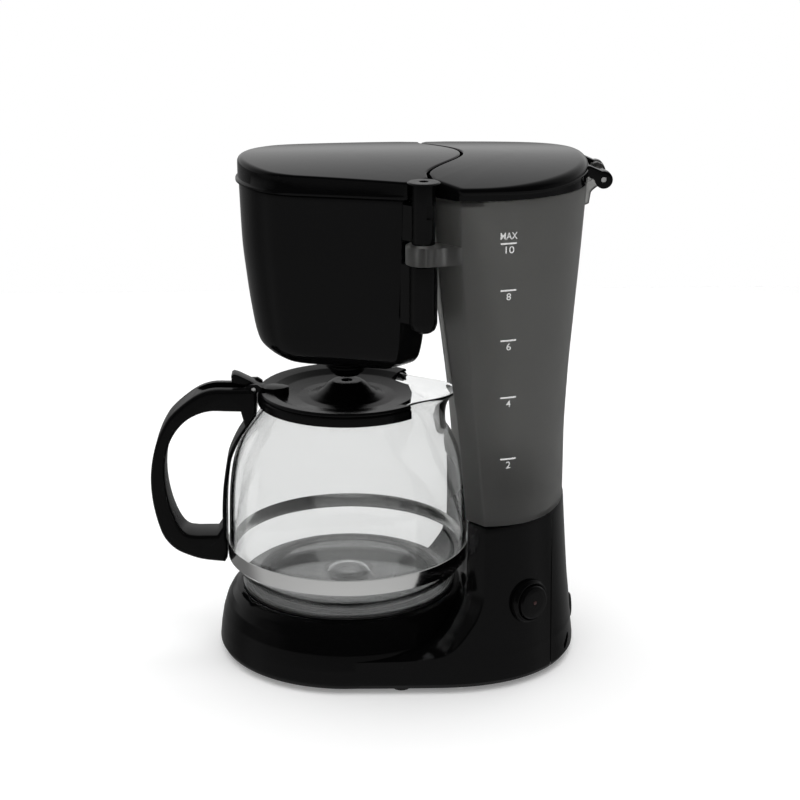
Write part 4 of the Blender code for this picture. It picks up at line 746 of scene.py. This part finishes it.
def vent_slot():
    """Cutter for the small tilted slot low on the rear cover's near side, square to the skin there."""
    ring = []
    for i in range(24):
        a = 2 * math.pi * i / 24
        straight = math.copysign(VENT_HALF_LENGTH - VENT_HALF_HEIGHT, math.cos(a))
        ring.append((math.cos(a) * VENT_HALF_HEIGHT + straight, math.sin(a) * VENT_HALF_HEIGHT))
    cos_tilt, sin_tilt = math.cos(VENT_TILT), math.sin(VENT_TILT)
    out = np.array([math.cos(VENT_TURN), -math.sin(VENT_TURN), 0.0])
    along = np.array([math.sin(VENT_TURN), math.cos(VENT_TURN), 0.0])
    up = np.array([0.0, 0.0, 1.0])
    rings = []
    for depth in (-8.0, 8.0):
        rings.append([tuple(np.array(VENT_AT) + out * depth + along * (a * cos_tilt - b * sin_tilt)
                            + up * (a * sin_tilt + b * cos_tilt)) for a, b in ring])
    return skin("vent", rings)


def make_button():
    bezel = button_turned("button_ring", [
        (11.3, 3.6, 0.4), (11.6, 2.6, 0.4), (12.3, 2.2, 0.6), (12.6, 0.2, 0.0), (10.2, 0.2, 0.0),
        (10.2, 3.3, 0.3), (10.5, 3.6, 0.3)], 0.2, closed=True)
    settle_piece(bezel, BLACK, "machine", "gloss_black", "button_bezel")
    cap = button_turned("button_cap", [
        (0, 6.0, 0), (6.0, 5.9, 3.5), (8.8, 5.5, 1.3), (9.65, 4.7, 0.8), (9.65, -3.0, 0.3),
        (0, -3.0, 0)], 0.3)
    seat = button_turned("lens_seat", [(0, 8), (LENS_R, 8), (LENS_R, 3), (0, 3)], 0.0, steps=32)
    cut(cap, [seat])
    settle_piece(cap, BLACK, "button", "gloss_black", "power_button")


def make_plate():
    plate = turned("plate", [
        (0, 42.2), (50.0, 42.2, 6.0), (61.6, 42.15, 0.8), (62.5, 41.6, 0.5), (62.5, 41.0, 0.2),
        (55.6, 41.0, 0.0), (55.6, 36.0, 0.0), (54.4, 36.0, 0.0), (54.4, 41.0, 0.0), (0, 41.0)], steps=128)
    settle_piece(plate, PLATE, "machine", "coated_steel", "warming_plate")


# ------------------------------------------------------------------ tank
TANK_ROWS = (
    # height, rear end, half width, front corner, front edge offset along and across, front hollow
    (98.2, 124.6, 71.0, 74.6, 9.6, 11.0, 9.0), (133.0, 124.6, 71.2, 71.4, 9.6, 11.5, 10.5),
    (170.0, 126.0, 71.6, 67.6, 10.4, 12.0, 13.6), (205.0, 128.6, 72.0, 63.8, 11.4, 12.5, 15.5),
    (240.0, 131.4, 72.3, 60.8, 12.4, 13.0, 14.0), (280.2, 134.2, 72.6, 59.2, 13.0, 13.6, 5.8),
)
TANK_LOW, TANK_HIGH, TANK_WALL = 98.2, 280.2, 2.2
REAR_POWER = 2.3              # how square the back of the tank and its lid is, 2 being an ellipse
PIN_U, PIN_Y, PIN_BORE_R = 40.6, -67.0, 3.7             # the basket's pivot
LUG_LOW, LUG_HIGH = 246.5, 256.8
HINGE_U, HINGE_Z, HINGE_BORE_R = 142.0, 281.5, 1.7      # the tank lid's hinge
MARKS = ((257.7, "10"), (232.2, "8"), (204.5, "6"), (172.5, "4"), (137.4, "2"))
MARKS_U, MARKS_LEAN = 85.4, 0.014        # middle of the top line, and how far the lower ones move back per mm
LINE_HALF_LENGTH, LINE_HALF_HEIGHT, LINE_STEPS = 4.3, 0.45, 8
INK_GAP, INK_MM = 0.06, 0.05             # off the tank's skin, and thick


def tank_values(z):
    return follow(TANK_ROWS, [z])[0]


def tank_ring(z, shrink=0.0):
    rear, half_y, corner, dx, dy, scoop = tank_values(z)
    arc = rear_arc(corner, rear - corner, half_y, REAR_POWER, corner + 0.01, 73)
    front = hollow_front(corner - dx, half_y - dy, scoop)
    ring = ([(*arc[0], 2.0)] + sharp(arc[1:-1]) + [(*arc[-1], 2.0), (*front[0], 3.0)]
            + sharp(front[1:-1]) + [(*front[-1], 3.0)])
    return ring_of(ring, shrink)


def tank_side(u, z):
    """y of the tank's near side skin."""
    rear, half_y, corner = tank_values(z)[:3]
    if u <= corner:
        return -half_y
    return -half_y * (1 - ((u - corner) / (rear - corner)) ** REAR_POWER) ** (1 / REAR_POWER)


def make_tank():
    ends = [TANK_LOW, 98.35, 98.8, 99.5, 279.2, 279.9, TANK_HIGH]
    heights = ends[:4] + list(np.linspace(104, 275, 26)) + ends[4:]
    rounding = np.interp(heights, ends, [1.0, 0.55, 0.15, 0, 0, 0.15, 0.5])
    tank = skin("tank_body", [lifted(tank_ring(z, r), z) for z, r in zip(heights, rounding)])
    inside = [100.8] + list(np.linspace(104, 272, 24)) + [277.6]
    hollow = skin("tank_hollow", [lifted(tank_ring(z, TANK_WALL), z) for z in inside])
    rear, half_y, corner = tank_values(TANK_HIGH)[:3]
    mouth = rear_arc(corner, rear - corner - 3.4, half_y - 3.4, REAR_POWER, 72.0, 61)
    cut(tank, [hollow, plan_solid("tank_mouth", mouth, 270.0, 285.0)])
    ear = turned("pivot_ear", [(0, LUG_LOW), (9.6, LUG_LOW, 0.8), (9.6, LUG_HIGH, 0.8), (0, LUG_HIGH)],
                 (PIN_U, PIN_Y), 72, 0.1)
    arm = plan_solid("pivot_arm", smooth_path([
        (41.0, -76.5), (47.0, -75.6), (53.0, -74.0), (60.6, -72.6), (60.0, -70.2), (53.5, -65.5),
        (49.0, -61.0), (45.0, -60.0), (41.0, -62.0)], 5, closed=True), LUG_LOW + 0.2, LUG_HIGH - 0.2, 0.25)
    lugs = side_pair("hinge_lug", [
        (132.7, 279.4), (132.7, 266.5), (134.8, 267.4, 1), (135.8, 274.0, 3), (139.0, 276.8, 3),
        (144.8, 277.4, 3), (146.6, 279.6, 3), (146.9, 281.8, 3), (145.8, 284.6, 3), (142.0, 286.4, 3),
        (138.6, 284.8, 3), (137.0, 281.2, 3), (134.6, 279.4, 1)], 9.0, 14.0, 0.4)
    join(tank, [ear, arm] + lugs)
    cut(tank, [
        cross_peg("hinge_bore", HINGE_U, HINGE_Z, HINGE_BORE_R, -30, 30),
        peg("ear_bore", PIN_U, PIN_Y, PIN_BORE_R, 240, 262),
        peg("outlet", VALVE_U, 0.0, 4.4, 90, 105), peg("floor_hole", RISER_U, 0.0, 3.8, 90, 105),
        peg("shelf_hole", 58.7, 0.0, 4.6, 270, 290), peg("screw_hole_1", 58.3, 11.0, 1.6, 270, 290),
        peg("screw_hole_2", 58.3, -11.0, 1.6, 270, 290)])
    settle_piece(tank, SMOKE, "machine", "smoky_clear", "water_tank", angle=28)


def printed(name, text, u, z, size, width):
    """Printed words or number on the tank's near side, centred on u with its foot at z."""
    curve = bpy.data.curves.new(name, "FONT")
    curve.body = text
    curve.size = 1.0
    curve.align_x = "CENTER"
    curve.offset = 0.004
    curve.resolution_u = 4
    obj = bpy.data.objects.new(name + "_type", curve)
    SCENE.collection.objects.link(obj)
    bpy.context.view_layer.update()
    mesh = bpy.data.meshes.new_from_object(obj.evaluated_get(bpy.context.evaluated_depsgraph_get()))
    bpy.data.objects.remove(obj)
    co = np.array([v.co for v in mesh.vertices])
    tall = co[:, 1].max() - co[:, 1].min()
    wide = co[:, 0].max() - co[:, 0].min()
    bm = bmesh.new()
    bm.from_mesh(mesh)
    bmesh.ops.subdivide_edges(bm, edges=[e for e in bm.edges if e.calc_length() > 0.25], cuts=1)
    for v in bm.verts:
        a = u + v.co.x / wide * width
        h = z + (v.co.y - co[:, 1].min()) / tall * size
        v.co = P(a, tank_side(a, h) - INK_GAP, h)
    bm.to_mesh(mesh)
    bm.free()
    piece = bpy.data.objects.new(name, mesh)
    SCENE.collection.objects.link(piece)
    return piece


def make_marks():
    """Level lines and their numbers, printed on the tank's near side."""
    pieces = [printed("level_max", "MAX", MARKS_U, 259.9, 3.8, 9.2)]
    for z, number in MARKS:
        middle = MARKS_U + (MARKS[0][0] - z) * MARKS_LEAN
        left, right = middle - LINE_HALF_LENGTH, middle + LINE_HALF_LENGTH
        points = []
        for i in range(LINE_STEPS + 1):
            u = left + (right - left) * i / LINE_STEPS
            for h in (z - LINE_HALF_HEIGHT, z + LINE_HALF_HEIGHT):
                points.append((u, tank_side(u, h) - INK_GAP, h))
        faces = [(2 * i, 2 * i + 2, 2 * i + 3, 2 * i + 1) for i in range(LINE_STEPS)]
        pieces.append(from_faces("level_line_" + number, points, faces))
        pieces.append(printed("level_" + number, number, middle + 0.2, z - 5.4, 3.9, 2.2 * len(number) + 0.3))
    for piece in pieces:
        thick = piece.modifiers.new("ink", "SOLIDIFY")
        thick.thickness = INK_MM * MM
        thick.offset = 0.0
        settle(piece)
        piece.data.materials.clear()
        piece.data.materials.append(INK)
        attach(piece, "machine")


# ------------------------------------------------------------------ covers
COVER_LOW, LID_LOW, WALL = 280.0, 280.8, 2.2
CROWN_TOP, CROWN_U = 294.0, 35.0
CROWN_ACROSS, CROWN_ALONG = 820.0, 10000.0              # twice the crown's radii
TONGUE_U, TONGUE_REACH = 43.0, 21.0
TOP_STEPS = (0.985, 0.96, 0.92, 0.86, 0.78, 0.68, 0.56, 0.42, 0.28, 0.14)     # of the way to the rim
UNDER_STEPS = (0.3, 0.6, 0.85, 1.0)


def crown(x, y):
    """Height of the covers' crowned top surface, highest over the middle."""
    return CROWN_TOP - y * y / CROWN_ACROSS - (x - CROWN_U) ** 2 / CROWN_ALONG


def tongue(offset, half_width, count=41):
    """Rounded back edge of the cover, from the near side to the far side."""
    points = []
    for i in range(count):
        t = -1 + 2 * i / (count - 1)
        swell = 0.5 * (1 + math.cos(math.pi * t))
        points.append((TONGUE_U + TONGUE_REACH * swell ** 0.8 + offset, t * half_width))
    return points


def crowned(name, points, low, rounding, centre, relief):
    """Cap with a crowned top, a rounded top edge and a hollow underside.

    The points are its plan, with corner radii. The rounding is one radius for each of them. The relief is
    a list of ((height, below), outwards) steps up the side wall. A step with no height follows the crown,
    that far below the rounding.
    """
    centre = np.array(centre, float)
    top = ring_of(points, 0.0)
    radii = spread(points, rounding)

    def ring(flat, heights):
        return [(p[0], p[1], h) for p, h in zip(flat, heights)]

    def crown_of(flat):
        return np.array([crown(p[0], p[1]) for p in flat])

    rings = []
    for (height, below), outwards in relief:
        heights = np.full(len(top), height) if height is not None else crown_of(top) - radii - below
        rings.append(ring(ring_of(points, -np.asarray(outwards)), heights))
    for step in range(7):
        a = math.radians(90 * step / 6)
        flat = ring_of(points, rounding * (1 - math.cos(a)))
        rings.append(ring(flat, crown_of(flat) - radii * (1 - math.sin(a))))
    last = np.array(ring_of(points, rounding))
    for s in TOP_STEPS:
        flat = centre + (last - centre) * s
        rings.append(ring(flat, crown_of(flat)))
    rings.append([(centre[0], centre[1], crown(*centre))])
    under = np.array(ring_of(points, rounding + WALL))
    rings.append([(centre[0], centre[1], crown(*centre) - WALL)])
    for s in UNDER_STEPS:
        flat = centre + (under - centre) * s
        rings.append(ring(flat, crown_of(flat) - WALL))
    wall = ring_of(points, WALL)
    rings.append(ring(wall, crown_of(wall) - WALL - radii))
    rings.append(ring(wall, np.full(len(wall), low)))
    return skin(name, rings, looped=True)


def spread(points, values):
    """One value for each point of the rounded outline, from one for each of its corners."""
    corners = np.array([p[:2] for p in points])
    nearest = [int(np.argmin(((corners - np.array(q)) ** 2).sum(1))) for q in ring_of(points, 0.0)]
    return np.array([values[k] for k in nearest])


def ease(t):
    """Smooth step from 0 to 1."""
    t = np.clip(t, 0, 1)
    return t * t * (3 - 2 * t)


def make_front_cover():
    shoulder, side_end = (43.5, 55.5), (32.0, 63.2)
    nose = arc_through(-59.8, (-36.0, 46.8), 31)
    flat_side = [(side_end[0] + (nose[-1][0] - side_end[0]) * k / 8,
                  -side_end[1] + (nose[-1][1] + side_end[1]) * k / 8) for k in range(1, 8)]
    front = soften_corners(mirrored(flat_side) + nose + flat_side[::-1], 36.0, ends=True)
    points = (sharp(front) + [(side_end[0], -side_end[1], 5.0), (shoulder[0], -shoulder[1], 3.0)]
              + sharp(tongue(0.0, 47.0)) + [(*shoulder, 3.0), (*side_end, 5.0)])
    u = np.array([p[0] for p in points])
    near_nose = ease((-26.0 - u) / 30.0)
    rounding = 1.0 + 1.8 * near_nose
    lip = np.where(u > 31.0, 0.0, 0.35 + 0.85 * near_nose)
    relief = [((COVER_LOW, 0), lip * 0.55), ((COVER_LOW + 0.25, 0), lip), ((COVER_LOW + 1.3, 0), lip),
              ((COVER_LOW + 2.0, 0), lip * 0.35), ((COVER_LOW + 2.5, 0), lip * 0.0)]
    cover = crowned("cover_shell", points, COVER_LOW, rounding, (2.0, 0.0), relief)
    cut(cover, [
        peg("flange_relief", PIN_U, PIN_Y, 9.4, 270, 300, 72),
        block("rear_relief", (34.0, -70, 270), (75, 70, 280.7))])
    settle_piece(cover, BLACK, "machine", "gloss_black", "front_cover", angle=38)


def soften_corners(outline, nose_corner, ends=False):
    """Evens out the outline close to the two corners of the nose, so that its crease is a small radius."""
    p = np.array(outline, float)
    for _ in range(4):
        weight = np.exp(-((p[:, 0] + nose_corner) / 5.0) ** 2)[:, None]
        weight = np.where(np.abs(p[:, 1:2]) > 25, weight, 0.0)
        if ends:
            weight[0] = weight[-1] = 0.0
        p = p + 0.5 * weight * (0.5 * (np.roll(p, 1, axis=0) + np.roll(p, -1, axis=0)) - p)
    return p


def make_tank_lid():
    arc = rear_arc(60.0, 74.6, 73.2, REAR_POWER, 60.01, 73)
    seam = tongue(1.5, 47.5)[::-1]
    points = ([(*arc[0], 4.0)] + sharp(arc[1:-1]) + [(*arc[-1], 4.0), (46.4, 58.6, 2.0)] + sharp(seam)
              + [(46.4, -58.6, 2.0)])
    u, y = (np.array([p[k] for p in points]) for k in (0, 1))
    back = ease((u - 70.0) / 50.0)
    seam_side = (u < 66.5) & (np.abs(y) < 50.0)
    rounding = np.where(seam_side, 0.8, 1.6 + 2.6 * back)
    lip = np.where(seam_side | (u < 52), 0.0, 0.5)
    relief = [((LID_LOW, 0), lip * 0.0), ((None, 1.6), lip * 0.0), ((None, 1.1), lip * 0.9),
              ((None, 0.4), lip)]
    lid = crowned("lid_shell", points, LID_LOW, rounding, (97.0, 0.0), relief)
    near_arm, far_arm = side_pair("lid_arm", [
        (131.0, 289.2), (131.0, 284.4), (138.4, 280.6, 2), (140.0, 278.2, 2), (142.4, 277.6, 2),
        (144.8, 278.8, 2), (145.9, 281.4, 2), (145.2, 284.0, 2), (142.6, 285.6, 2), (134.4, 289.2, 3)],
        14.4, 19.4, 0.4)
    near_knuckle = cross_peg("near_knuckle", HINGE_U, HINGE_Z, 4.9, -19.3, -14.5, 48)
    far_knuckle = cross_peg("far_knuckle", HINGE_U, HINGE_Z, 4.9, 14.5, 19.3, 48)
    join(lid, [near_arm, near_knuckle, far_arm, far_knuckle])
    cut(lid, [cross_peg("lid_bore", HINGE_U, HINGE_Z, HINGE_BORE_R, -30, 30)])
    settle_piece(lid, BLACK, "tank_lid", "gloss_black", "tank_lid", angle=38)


# ------------------------------------------------------------------ basket
BASKET_ROWS = (
    # height, tip, corner (u, y), side end (u, y), rear (u, y)
    (181.6, -40.0, -27.0, 30.0, 22.0, 44.0, 33.0, 34.0), (184.6, -44.6, -29.4, 34.6, 24.6, 49.0, 37.4, 38.0),
    (190.0, -49.6, -31.6, 38.6, 26.6, 53.6, 39.8, 42.0), (206.0, -53.2, -33.0, 41.0, 27.8, 57.0, 41.8, 46.0),
    (227.0, -56.0, -34.4, 43.6, 28.6, 60.0, 42.0, 49.0), (247.0, -58.0, -35.4, 45.4, 29.2, 62.0, 42.0, 51.0),
    (279.6, -59.2, -36.0, 46.4, 29.6, 62.8, 42.0, 51.6),
)
BASKET_LOW, BASKET_HIGH, BASKET_WALL, BASKET_FLOOR = 181.6, 279.6, 2.2, 2.2
NOZZLE_PROFILE = (
    (11.0, 177.7), (12.6, 177.0, 0.5), (12.6, 174.6, 0.5), (11.4, 174.0, 0.4), (11.4, 173.2, 0.4),
    (12.2, 172.6, 0.5), (12.2, 171.4, 0.5), (10.8, 170.4, 0.6), (9.8, 168.4, 1.0), (7.4, 166.2, 0.8),
    (3.6, 166.2, 0.2), (3.6, 167.4, 0.2), (8.4, 168.8, 0.3), (8.6, 177.7))


def basket_ring(z, shrink=0.0, lift=0.0):
    tip, cx, cy, sx, sy, rx, ry = follow(BASKET_ROWS, [z])[0]
    nose = arc_through(tip, (cx, cy), 25)
    side = [(sx + (cx - sx) * k / 9, sy + (cy - sy) * k / 9) for k in range(1, 9)]
    ring = ([(rx, -ry, 3.0), (rx, 0.0, 0.0), (rx, ry, 3.0), (sx, sy, 2.2)] + sharp(side) + sharp(nose)
            + sharp(mirrored(side[::-1])) + [(sx, -sy, 2.2)])
    return lifted(soften_corners(ring_of(ring, shrink), nose_corner=-cx), z + lift)


def round_ring(radius, z):
    """Circle on the floor cone, at the bearings of the basket's lowest ring."""
    return [(radius * math.cos(a), radius * math.sin(a), z)
            for a in (math.atan2(p[1], p[0]) for p in basket_ring(BASKET_LOW))]


def make_basket():
    heights = np.concatenate([np.linspace(BASKET_LOW, 190, 12), np.linspace(192, 278.6, 30),
                              [279.3, BASKET_HIGH]])
    rounding = np.interp(heights, [BASKET_LOW, 278.6, 279.3, BASKET_HIGH], [0, 0, 0.12, 0.45])
    rings = [round_ring(6.0, 178.0), round_ring(16.0, 178.0), round_ring(26.0, 179.6)]
    rings += [basket_ring(z, r) for z, r in zip(heights, rounding)]
    rings += [basket_ring(BASKET_HIGH, BASKET_WALL)]
    rings += [basket_ring(z, BASKET_WALL, BASKET_FLOOR * (BASKET_HIGH - z) / 98) for z in heights[-4::-2]]
    rings += [round_ring(15.0, 180.4), round_ring(6.0, 180.4)]
    basket = skin("basket_shell", rings, looped=True)
    webs = []
    for label, low, high in (("upper", LUG_HIGH + 1.6, 277.4), ("lower", 213.0, LUG_LOW - 1.0)):
        webs.append(plan_solid(f"{label}_web", [
            (28.4, -61.0), (35.2, -67.6), (40.6, -62.0), (41.6, -54.0), (41.6, -50.6), (39.0, -52.4),
            (29.8, -60.2)], low, high, radius=0.3))
    foot = LUG_HIGH + 0.5
    upper = turned("upper_barrel", [(0, foot), (6.3, foot, 0.5), (6.3, 289.0), (0, 289.0)],
                   (PIN_U, PIN_Y), 64, 0.1)
    lower = turned("lower_barrel", [(0, 246.0), (7.6, 246.0, 0.5), (7.6, 214.0, 3.0), (6.4, 210.6, 2.0),
                                    (4.2, 209.0, 1.5), (0, 209.0)], (PIN_U, PIN_Y), 64, 0.1)
    join(basket, webs + [upper, lower])
    cut(basket, [
        peg("barrel_bore", PIN_U, PIN_Y, PIN_BORE_R, 213, 292),
        block("barrel_slot", (PIN_U + 1.4, PIN_Y - 9, 271.4), (PIN_U + 5.2, PIN_Y - 4.0, 278.6))])
    settle_piece(basket, BLACK, "basket", "gloss_black", "filter_basket", angle=34)
    pin = turned("pivot_pin", [
        (0, 282.0), (2.4, 282.0, 0.2), (2.4, 290.6, 0.3), (8.0, 290.5, 0.6), (8.8, 290.0, 0.3),
        (8.8, 289.5, 0.3), (3.4, 289.3, 0.2), (3.4, 214.0, 0.6), (0, 214.0)], (PIN_U, PIN_Y), 72, 0.1)
    settle_piece(pin, SATIN, "basket", "satin_black", "basket_pin")
    nozzle = turned("nozzle_ring", NOZZLE_PROFILE, steps=96, radius=0.1, closed=True)
    settle_piece(nozzle, SATIN, "basket", "satin_black", "drip_retainer")


# ------------------------------------------------------------------ jug
GLASS_PROFILE = (
    (48.0, 42.6), (56.0, 44.4), (63.8, 49.6), (68.6, 57.0), (69.7, 67.0), (69.3, 88.0), (68.2, 104.0),
    (65.6, 118.0), (61.2, 129.0), (55.0, 138.0), (48.6, 147.0), (46.4, 152.0), (47.0, 155.4))
GLASS_FLOOR = ((0.0, 45.4), (9.0, 45.2), (13.0, 42.9), (20.0, 42.6), (34.0, 42.6), (48.0, 42.6))
GLASS_T, GLASS_TOP = 2.2, 155.4
SPOUT_LOW, SPOUT_REACH, SPOUT_HALF = 134.0, 16.5, math.radians(40.0)
POUR_HALF = math.radians(46.0)                         # half the gap in the collar and lid above the spout
HANDLE_HALF, HANDLE_EDGE, OPENING_EDGE = 11.0, 2.4, 2.0
HANDLE_TOP, HANDLE_JOIN = (-51.8, 160.0), (-51.8, 149.2)
HANDLE_BACK = (
    (-66.0, 160.0), (-78.0, 159.8), (-88.0, 155.8), (-99.7, 146.4), (-105.4, 138.6), (-109.8, 128.6),
    (-112.6, 118.0), (-113.9, 107.6), (-113.8, 97.6), (-112.6, 88.0), (-110.2, 77.6), (-107.0, 69.6),
    (-101.2, 63.0), (-93.6, 59.0), (-85.0, 56.2), (-72.4, 54.6))
HANDLE_OPENING = (
    (-61.0, 146.8), (-68.0, 147.0), (-80.0, 147.0), (-91.0, 142.6), (-99.0, 134.4), (-103.6, 124.6),
    (-105.5, 113.4), (-105.2, 101.0), (-102.8, 88.6), (-98.6, 77.8), (-94.0, 72.4), (-88.0, 71.2),
    (-76.6, 71.2))
STRAP_HEIGHTS = (57.0, 62.0, 68.0, 76.0, 88.0, 100.0, 110.0, 118.0, 125.4, 132.0, 138.0, 144.0)
LID_PIN_U, LID_PIN_Z, LID_BORE_R = -53.5, 159.4, 1.5
LID_PROFILE = (
    (3.2, 162.4, 0.3), (8.4, 162.4, 1.5), (11.0, 160.8, 3), (14.0, 157.8, 4), (17.6, 155.2, 5),
    (22.0, 153.6, 5), (28.0, 153.4, 5), (38.0, 154.6, 5), (43.0, 157.0, 2), (50.2, 158.0, 0.6),
    (51.2, 157.2, 0.4), (51.2, 156.2, 0.2), (43.6, 156.2, 0.3), (42.6, 152.8, 1), (28.0, 151.4, 3),
    (21.4, 151.6, 3), (16.6, 153.4, 3), (12.6, 156.4, 3), (9.4, 159.6, 2), (7.6, 160.6, 1), (3.2, 160.6, 0.2))


def glass_radius(z):
    for (r0, z0), (r1, z1) in zip(GLASS_PROFILE[1:], GLASS_PROFILE[2:]):
        if z0 <= z <= z1:
            return r0 + (r1 - r0) * (z - z0) / (z1 - z0)
    return GLASS_PROFILE[-1][0]


def glass_ring(radius, z, steps=144):
    ring = []
    for i in range(steps):
        angle = 2 * math.pi * i / steps
        off = abs(math.atan2(math.sin(angle), math.cos(angle)))
        reach = 0.0
        if z > SPOUT_LOW and off < SPOUT_HALF:
            rise = (z - SPOUT_LOW) / (GLASS_TOP - SPOUT_LOW)
            reach = SPOUT_REACH * rise ** 1.3 * math.cos(off / SPOUT_HALF * math.pi / 2) ** 2
        ring.append(((radius + reach) * math.cos(angle), (radius + reach) * math.sin(angle), z))
    return ring


def make_glass():
    path = np.array(smooth_path(GLASS_FLOOR, 4)[:-1] + smooth_path(GLASS_PROFILE, 5))
    along = np.gradient(path, axis=0)
    along /= np.linalg.norm(along, axis=1, keepdims=True)
    inner = path + GLASS_T * np.stack([-along[:, 1], along[:, 0]], 1)
    inner[0, 0] = 0.0
    rim = 0.5 * (path[-1] + inner[-1]) + along[-1] * 0.55 * GLASS_T
    rings = [[(0.0, 0.0, path[0, 1])]] + [glass_ring(r, z) for r, z in path[1:]]
    lip = [path[-1] * 0.85 + rim * 0.15 + along[-1] * 0.5, rim + (path[-1] - rim) * 0.35,
           rim + (inner[-1] - rim) * 0.35, inner[-1] * 0.85 + rim * 0.15 + along[-1] * 0.5]
    rings += [glass_ring(r, z) for r, z in lip]
    rings += [glass_ring(r, z) for r, z in inner[:0:-1] if r > 0.5]
    rings.append([(0.0, 0.0, inner[0, 1])])
    glass = skin("glass_body", rings)
    settle_piece(glass, GLASS, "jug", "clear_glass", "jug_glass", angle=60)


def handle_outline():
    """Side outlines of the handle and of its finger opening, which both follow the glass."""
    inner = [(-max(glass_radius(h) + 1.3, 71.0 if h < 70 else 0), h) for h in STRAP_HEIGHTS]
    strap = [(-(glass_radius(h) + 3.8), h) for h in STRAP_HEIGHTS[3:11]]
    body = [HANDLE_TOP] + smooth_path(HANDLE_BACK, 4) + smooth_path(inner, 3) + [HANDLE_JOIN]
    hole = ([HANDLE_OPENING[0]] + smooth_path(HANDLE_OPENING[1:-1], 4) + [HANDLE_OPENING[-1]]
            + smooth_path(strap, 3))
    return body, hole


def make_handle():
    body, hole = handle_outline()
    handle = side_solid("handle_body", body, -HANDLE_HALF, HANDLE_HALF, HANDLE_EDGE)
    levels = [(-HANDLE_HALF - 1.0, OPENING_EDGE)]
    levels += [(-HANDLE_HALF + OPENING_EDGE * (1 - math.sin(a)), OPENING_EDGE * (1 - math.cos(a)))
               for a in QUARTER[::-1]]
    levels += [(-y, d) for y, d in levels[::-1]]
    rings = [[(p[0], y, p[1]) for p in inset(hole, -d)] for y, d in levels]
    cut(handle, [skin("finger_gap", rings)])
    cut(handle, [
        turned_x("screw_way", 63.0, [(0, -120), (3.9, -120), (3.9, -84), (1.9, -84), (1.9, -60), (0, -60)],
                 40),
        block("lever_slot", (-90.0, -5.4, 156.6), (-40.0, 5.4, 170.0))])
    join(handle, side_pair("lid_cheek", [
        (-59.0, 158.0), (-48.4, 157.4), (-48.8, 160.6), (-51.4, 162.4), (-55.4, 162.4), (-58.4, 160.6)],
        5.6, 8.4, 0.3, radius=1.0))
    cut(handle, [cross_peg("pivot_bore", LID_PIN_U, LID_PIN_Z, LID_BORE_R, -20, 20)])
    settle_piece(handle, SATIN, "jug", "satin_black", "jug_handle", angle=34)


def pour_edge(radius, side):
    """Point on the near (-1) or far (1) edge of the pouring gap, at a distance from the jug's axis."""
    return (radius * math.cos(POUR_HALF), side * radius * math.sin(POUR_HALF))


def make_jug_fittings():
    band = turned("band_ring", [(70.65, 66.9), (70.65, 58.0), (70.0, 58.0), (70.0, 66.9)], steps=192,
                  radius=0.15, closed=True)
    settle_piece(band, BAND, "jug", "steel", "jug_band", angle=50)
    collar = turned("collar_ring", [
        (50.4, 155.9), (51.4, 155.1), (51.6, 150.3), (49.0, 150.3), (48.4, 155.9)], steps=144, radius=0.4,
        closed=True)
    far = 80.0
    gap = [(0, 0), pour_edge(far, -1), (far * 1.6, 0), pour_edge(far, 1)]
    cut(collar, [plan_solid("collar_gap", gap, 140, 170)])
    settle_piece(collar, SATIN, "jug", "satin_black", "jug_collar")


def make_jug_lid():
    lid = turned("jug_lid_body", LID_PROFILE, steps=144, radius=0.2, closed=True)
    near, far = 38.0, 90.0
    gap = [pour_edge(near, -1), pour_edge(far, -1), (far, 0), pour_edge(far, 1), pour_edge(near, 1),
           (36, 14), (37.4, 0), (36, -14)]
    cut(lid, [
        plan_solid("lid_pour_gap", gap, 140, 170),
        block("notch_near", (-60, -9.2, 150), (-46.8, -5.1, 170)),
        block("notch_far", (-60, 5.1, 150), (-46.8, 9.2, 170))])
    lever = side_solid("thumb_lever", [
        (-44.0, 156.6), (-44.0, 157.6), (-50.0, 160.4, 4), (-55.0, 163.4, 4), (-62.0, 167.0, 3),
        (-64.8, 167.8, 1), (-66.2, 166.8, 1), (-66.0, 162.8, 1), (-58.0, 160.6, 2), (-56.4, 158.6, 1),
        (-54.4, 157.2, 1), (-51.0, 157.0, 1)], -4.9, 4.9, 0.3)
    root = plan_solid("lever_root", [
        (-47.0, -4.8), (-42.0, -6.4), (-37.0, -4.6), (-33.4, -1.6), (-33.4, 1.6), (-37.0, 4.6),
        (-42.0, 6.4), (-47.0, 4.8)], 153.6, 158.9, 0.5, radius=1.2)
    join(lid, [lever, root])
    cut(lid, [cross_peg("lid_pin_bore", LID_PIN_U, LID_PIN_Z, LID_BORE_R, -20, 20)])
    settle_piece(lid, SATIN, "jug_lid", "satin_black", "jug_lid", angle=34)


# ------------------------------------------------------------------ CAD nodes that keep their shape
def numbered(name, count):
    return [f"{name}_{i + 1}" for i in range(count)]


def dress_cad_nodes():
    finishes = {
        SATIN: ["base_cover", "check_valve_body", "water_spout", "shower_head", "filter_insert",
                "drip_plunger"],
        STEEL: numbered("base_screw", 4) + numbered("hose_clip", 2) + numbered("cover_screw", 2) + [
            "clamp_screw", "lid_hinge_pin", "band_screw", "jug_lid_pin", "drip_spring", "thermal_fuse"],
        ALUMINIUM: ["heater_element", "boiler_tube", "heater_clamp"],
        RUBBER: numbered("foot", 5) + ["plate_seal", "tank_gasket", "cord_gland"],
        SILICONE: ["inlet_hose", "outlet_hose", "riser_tube", "drip_seal"],
        WHITE: ["thermostat", "check_ball", "tank_strainer", "switch_body"],
        LENS: ["indicator_lens"],
    }
    for material, names in finishes.items():
        for name in names:
            for slot in NODES[name].material_slots:
                slot.material = material


add_studio()
make_base()
make_button()
make_plate()
make_tank()
make_marks()
make_front_cover()
make_tank_lid()
make_basket()
make_glass()
make_handle()
make_jug_fittings()
make_jug_lid()
dress_cad_nodes()
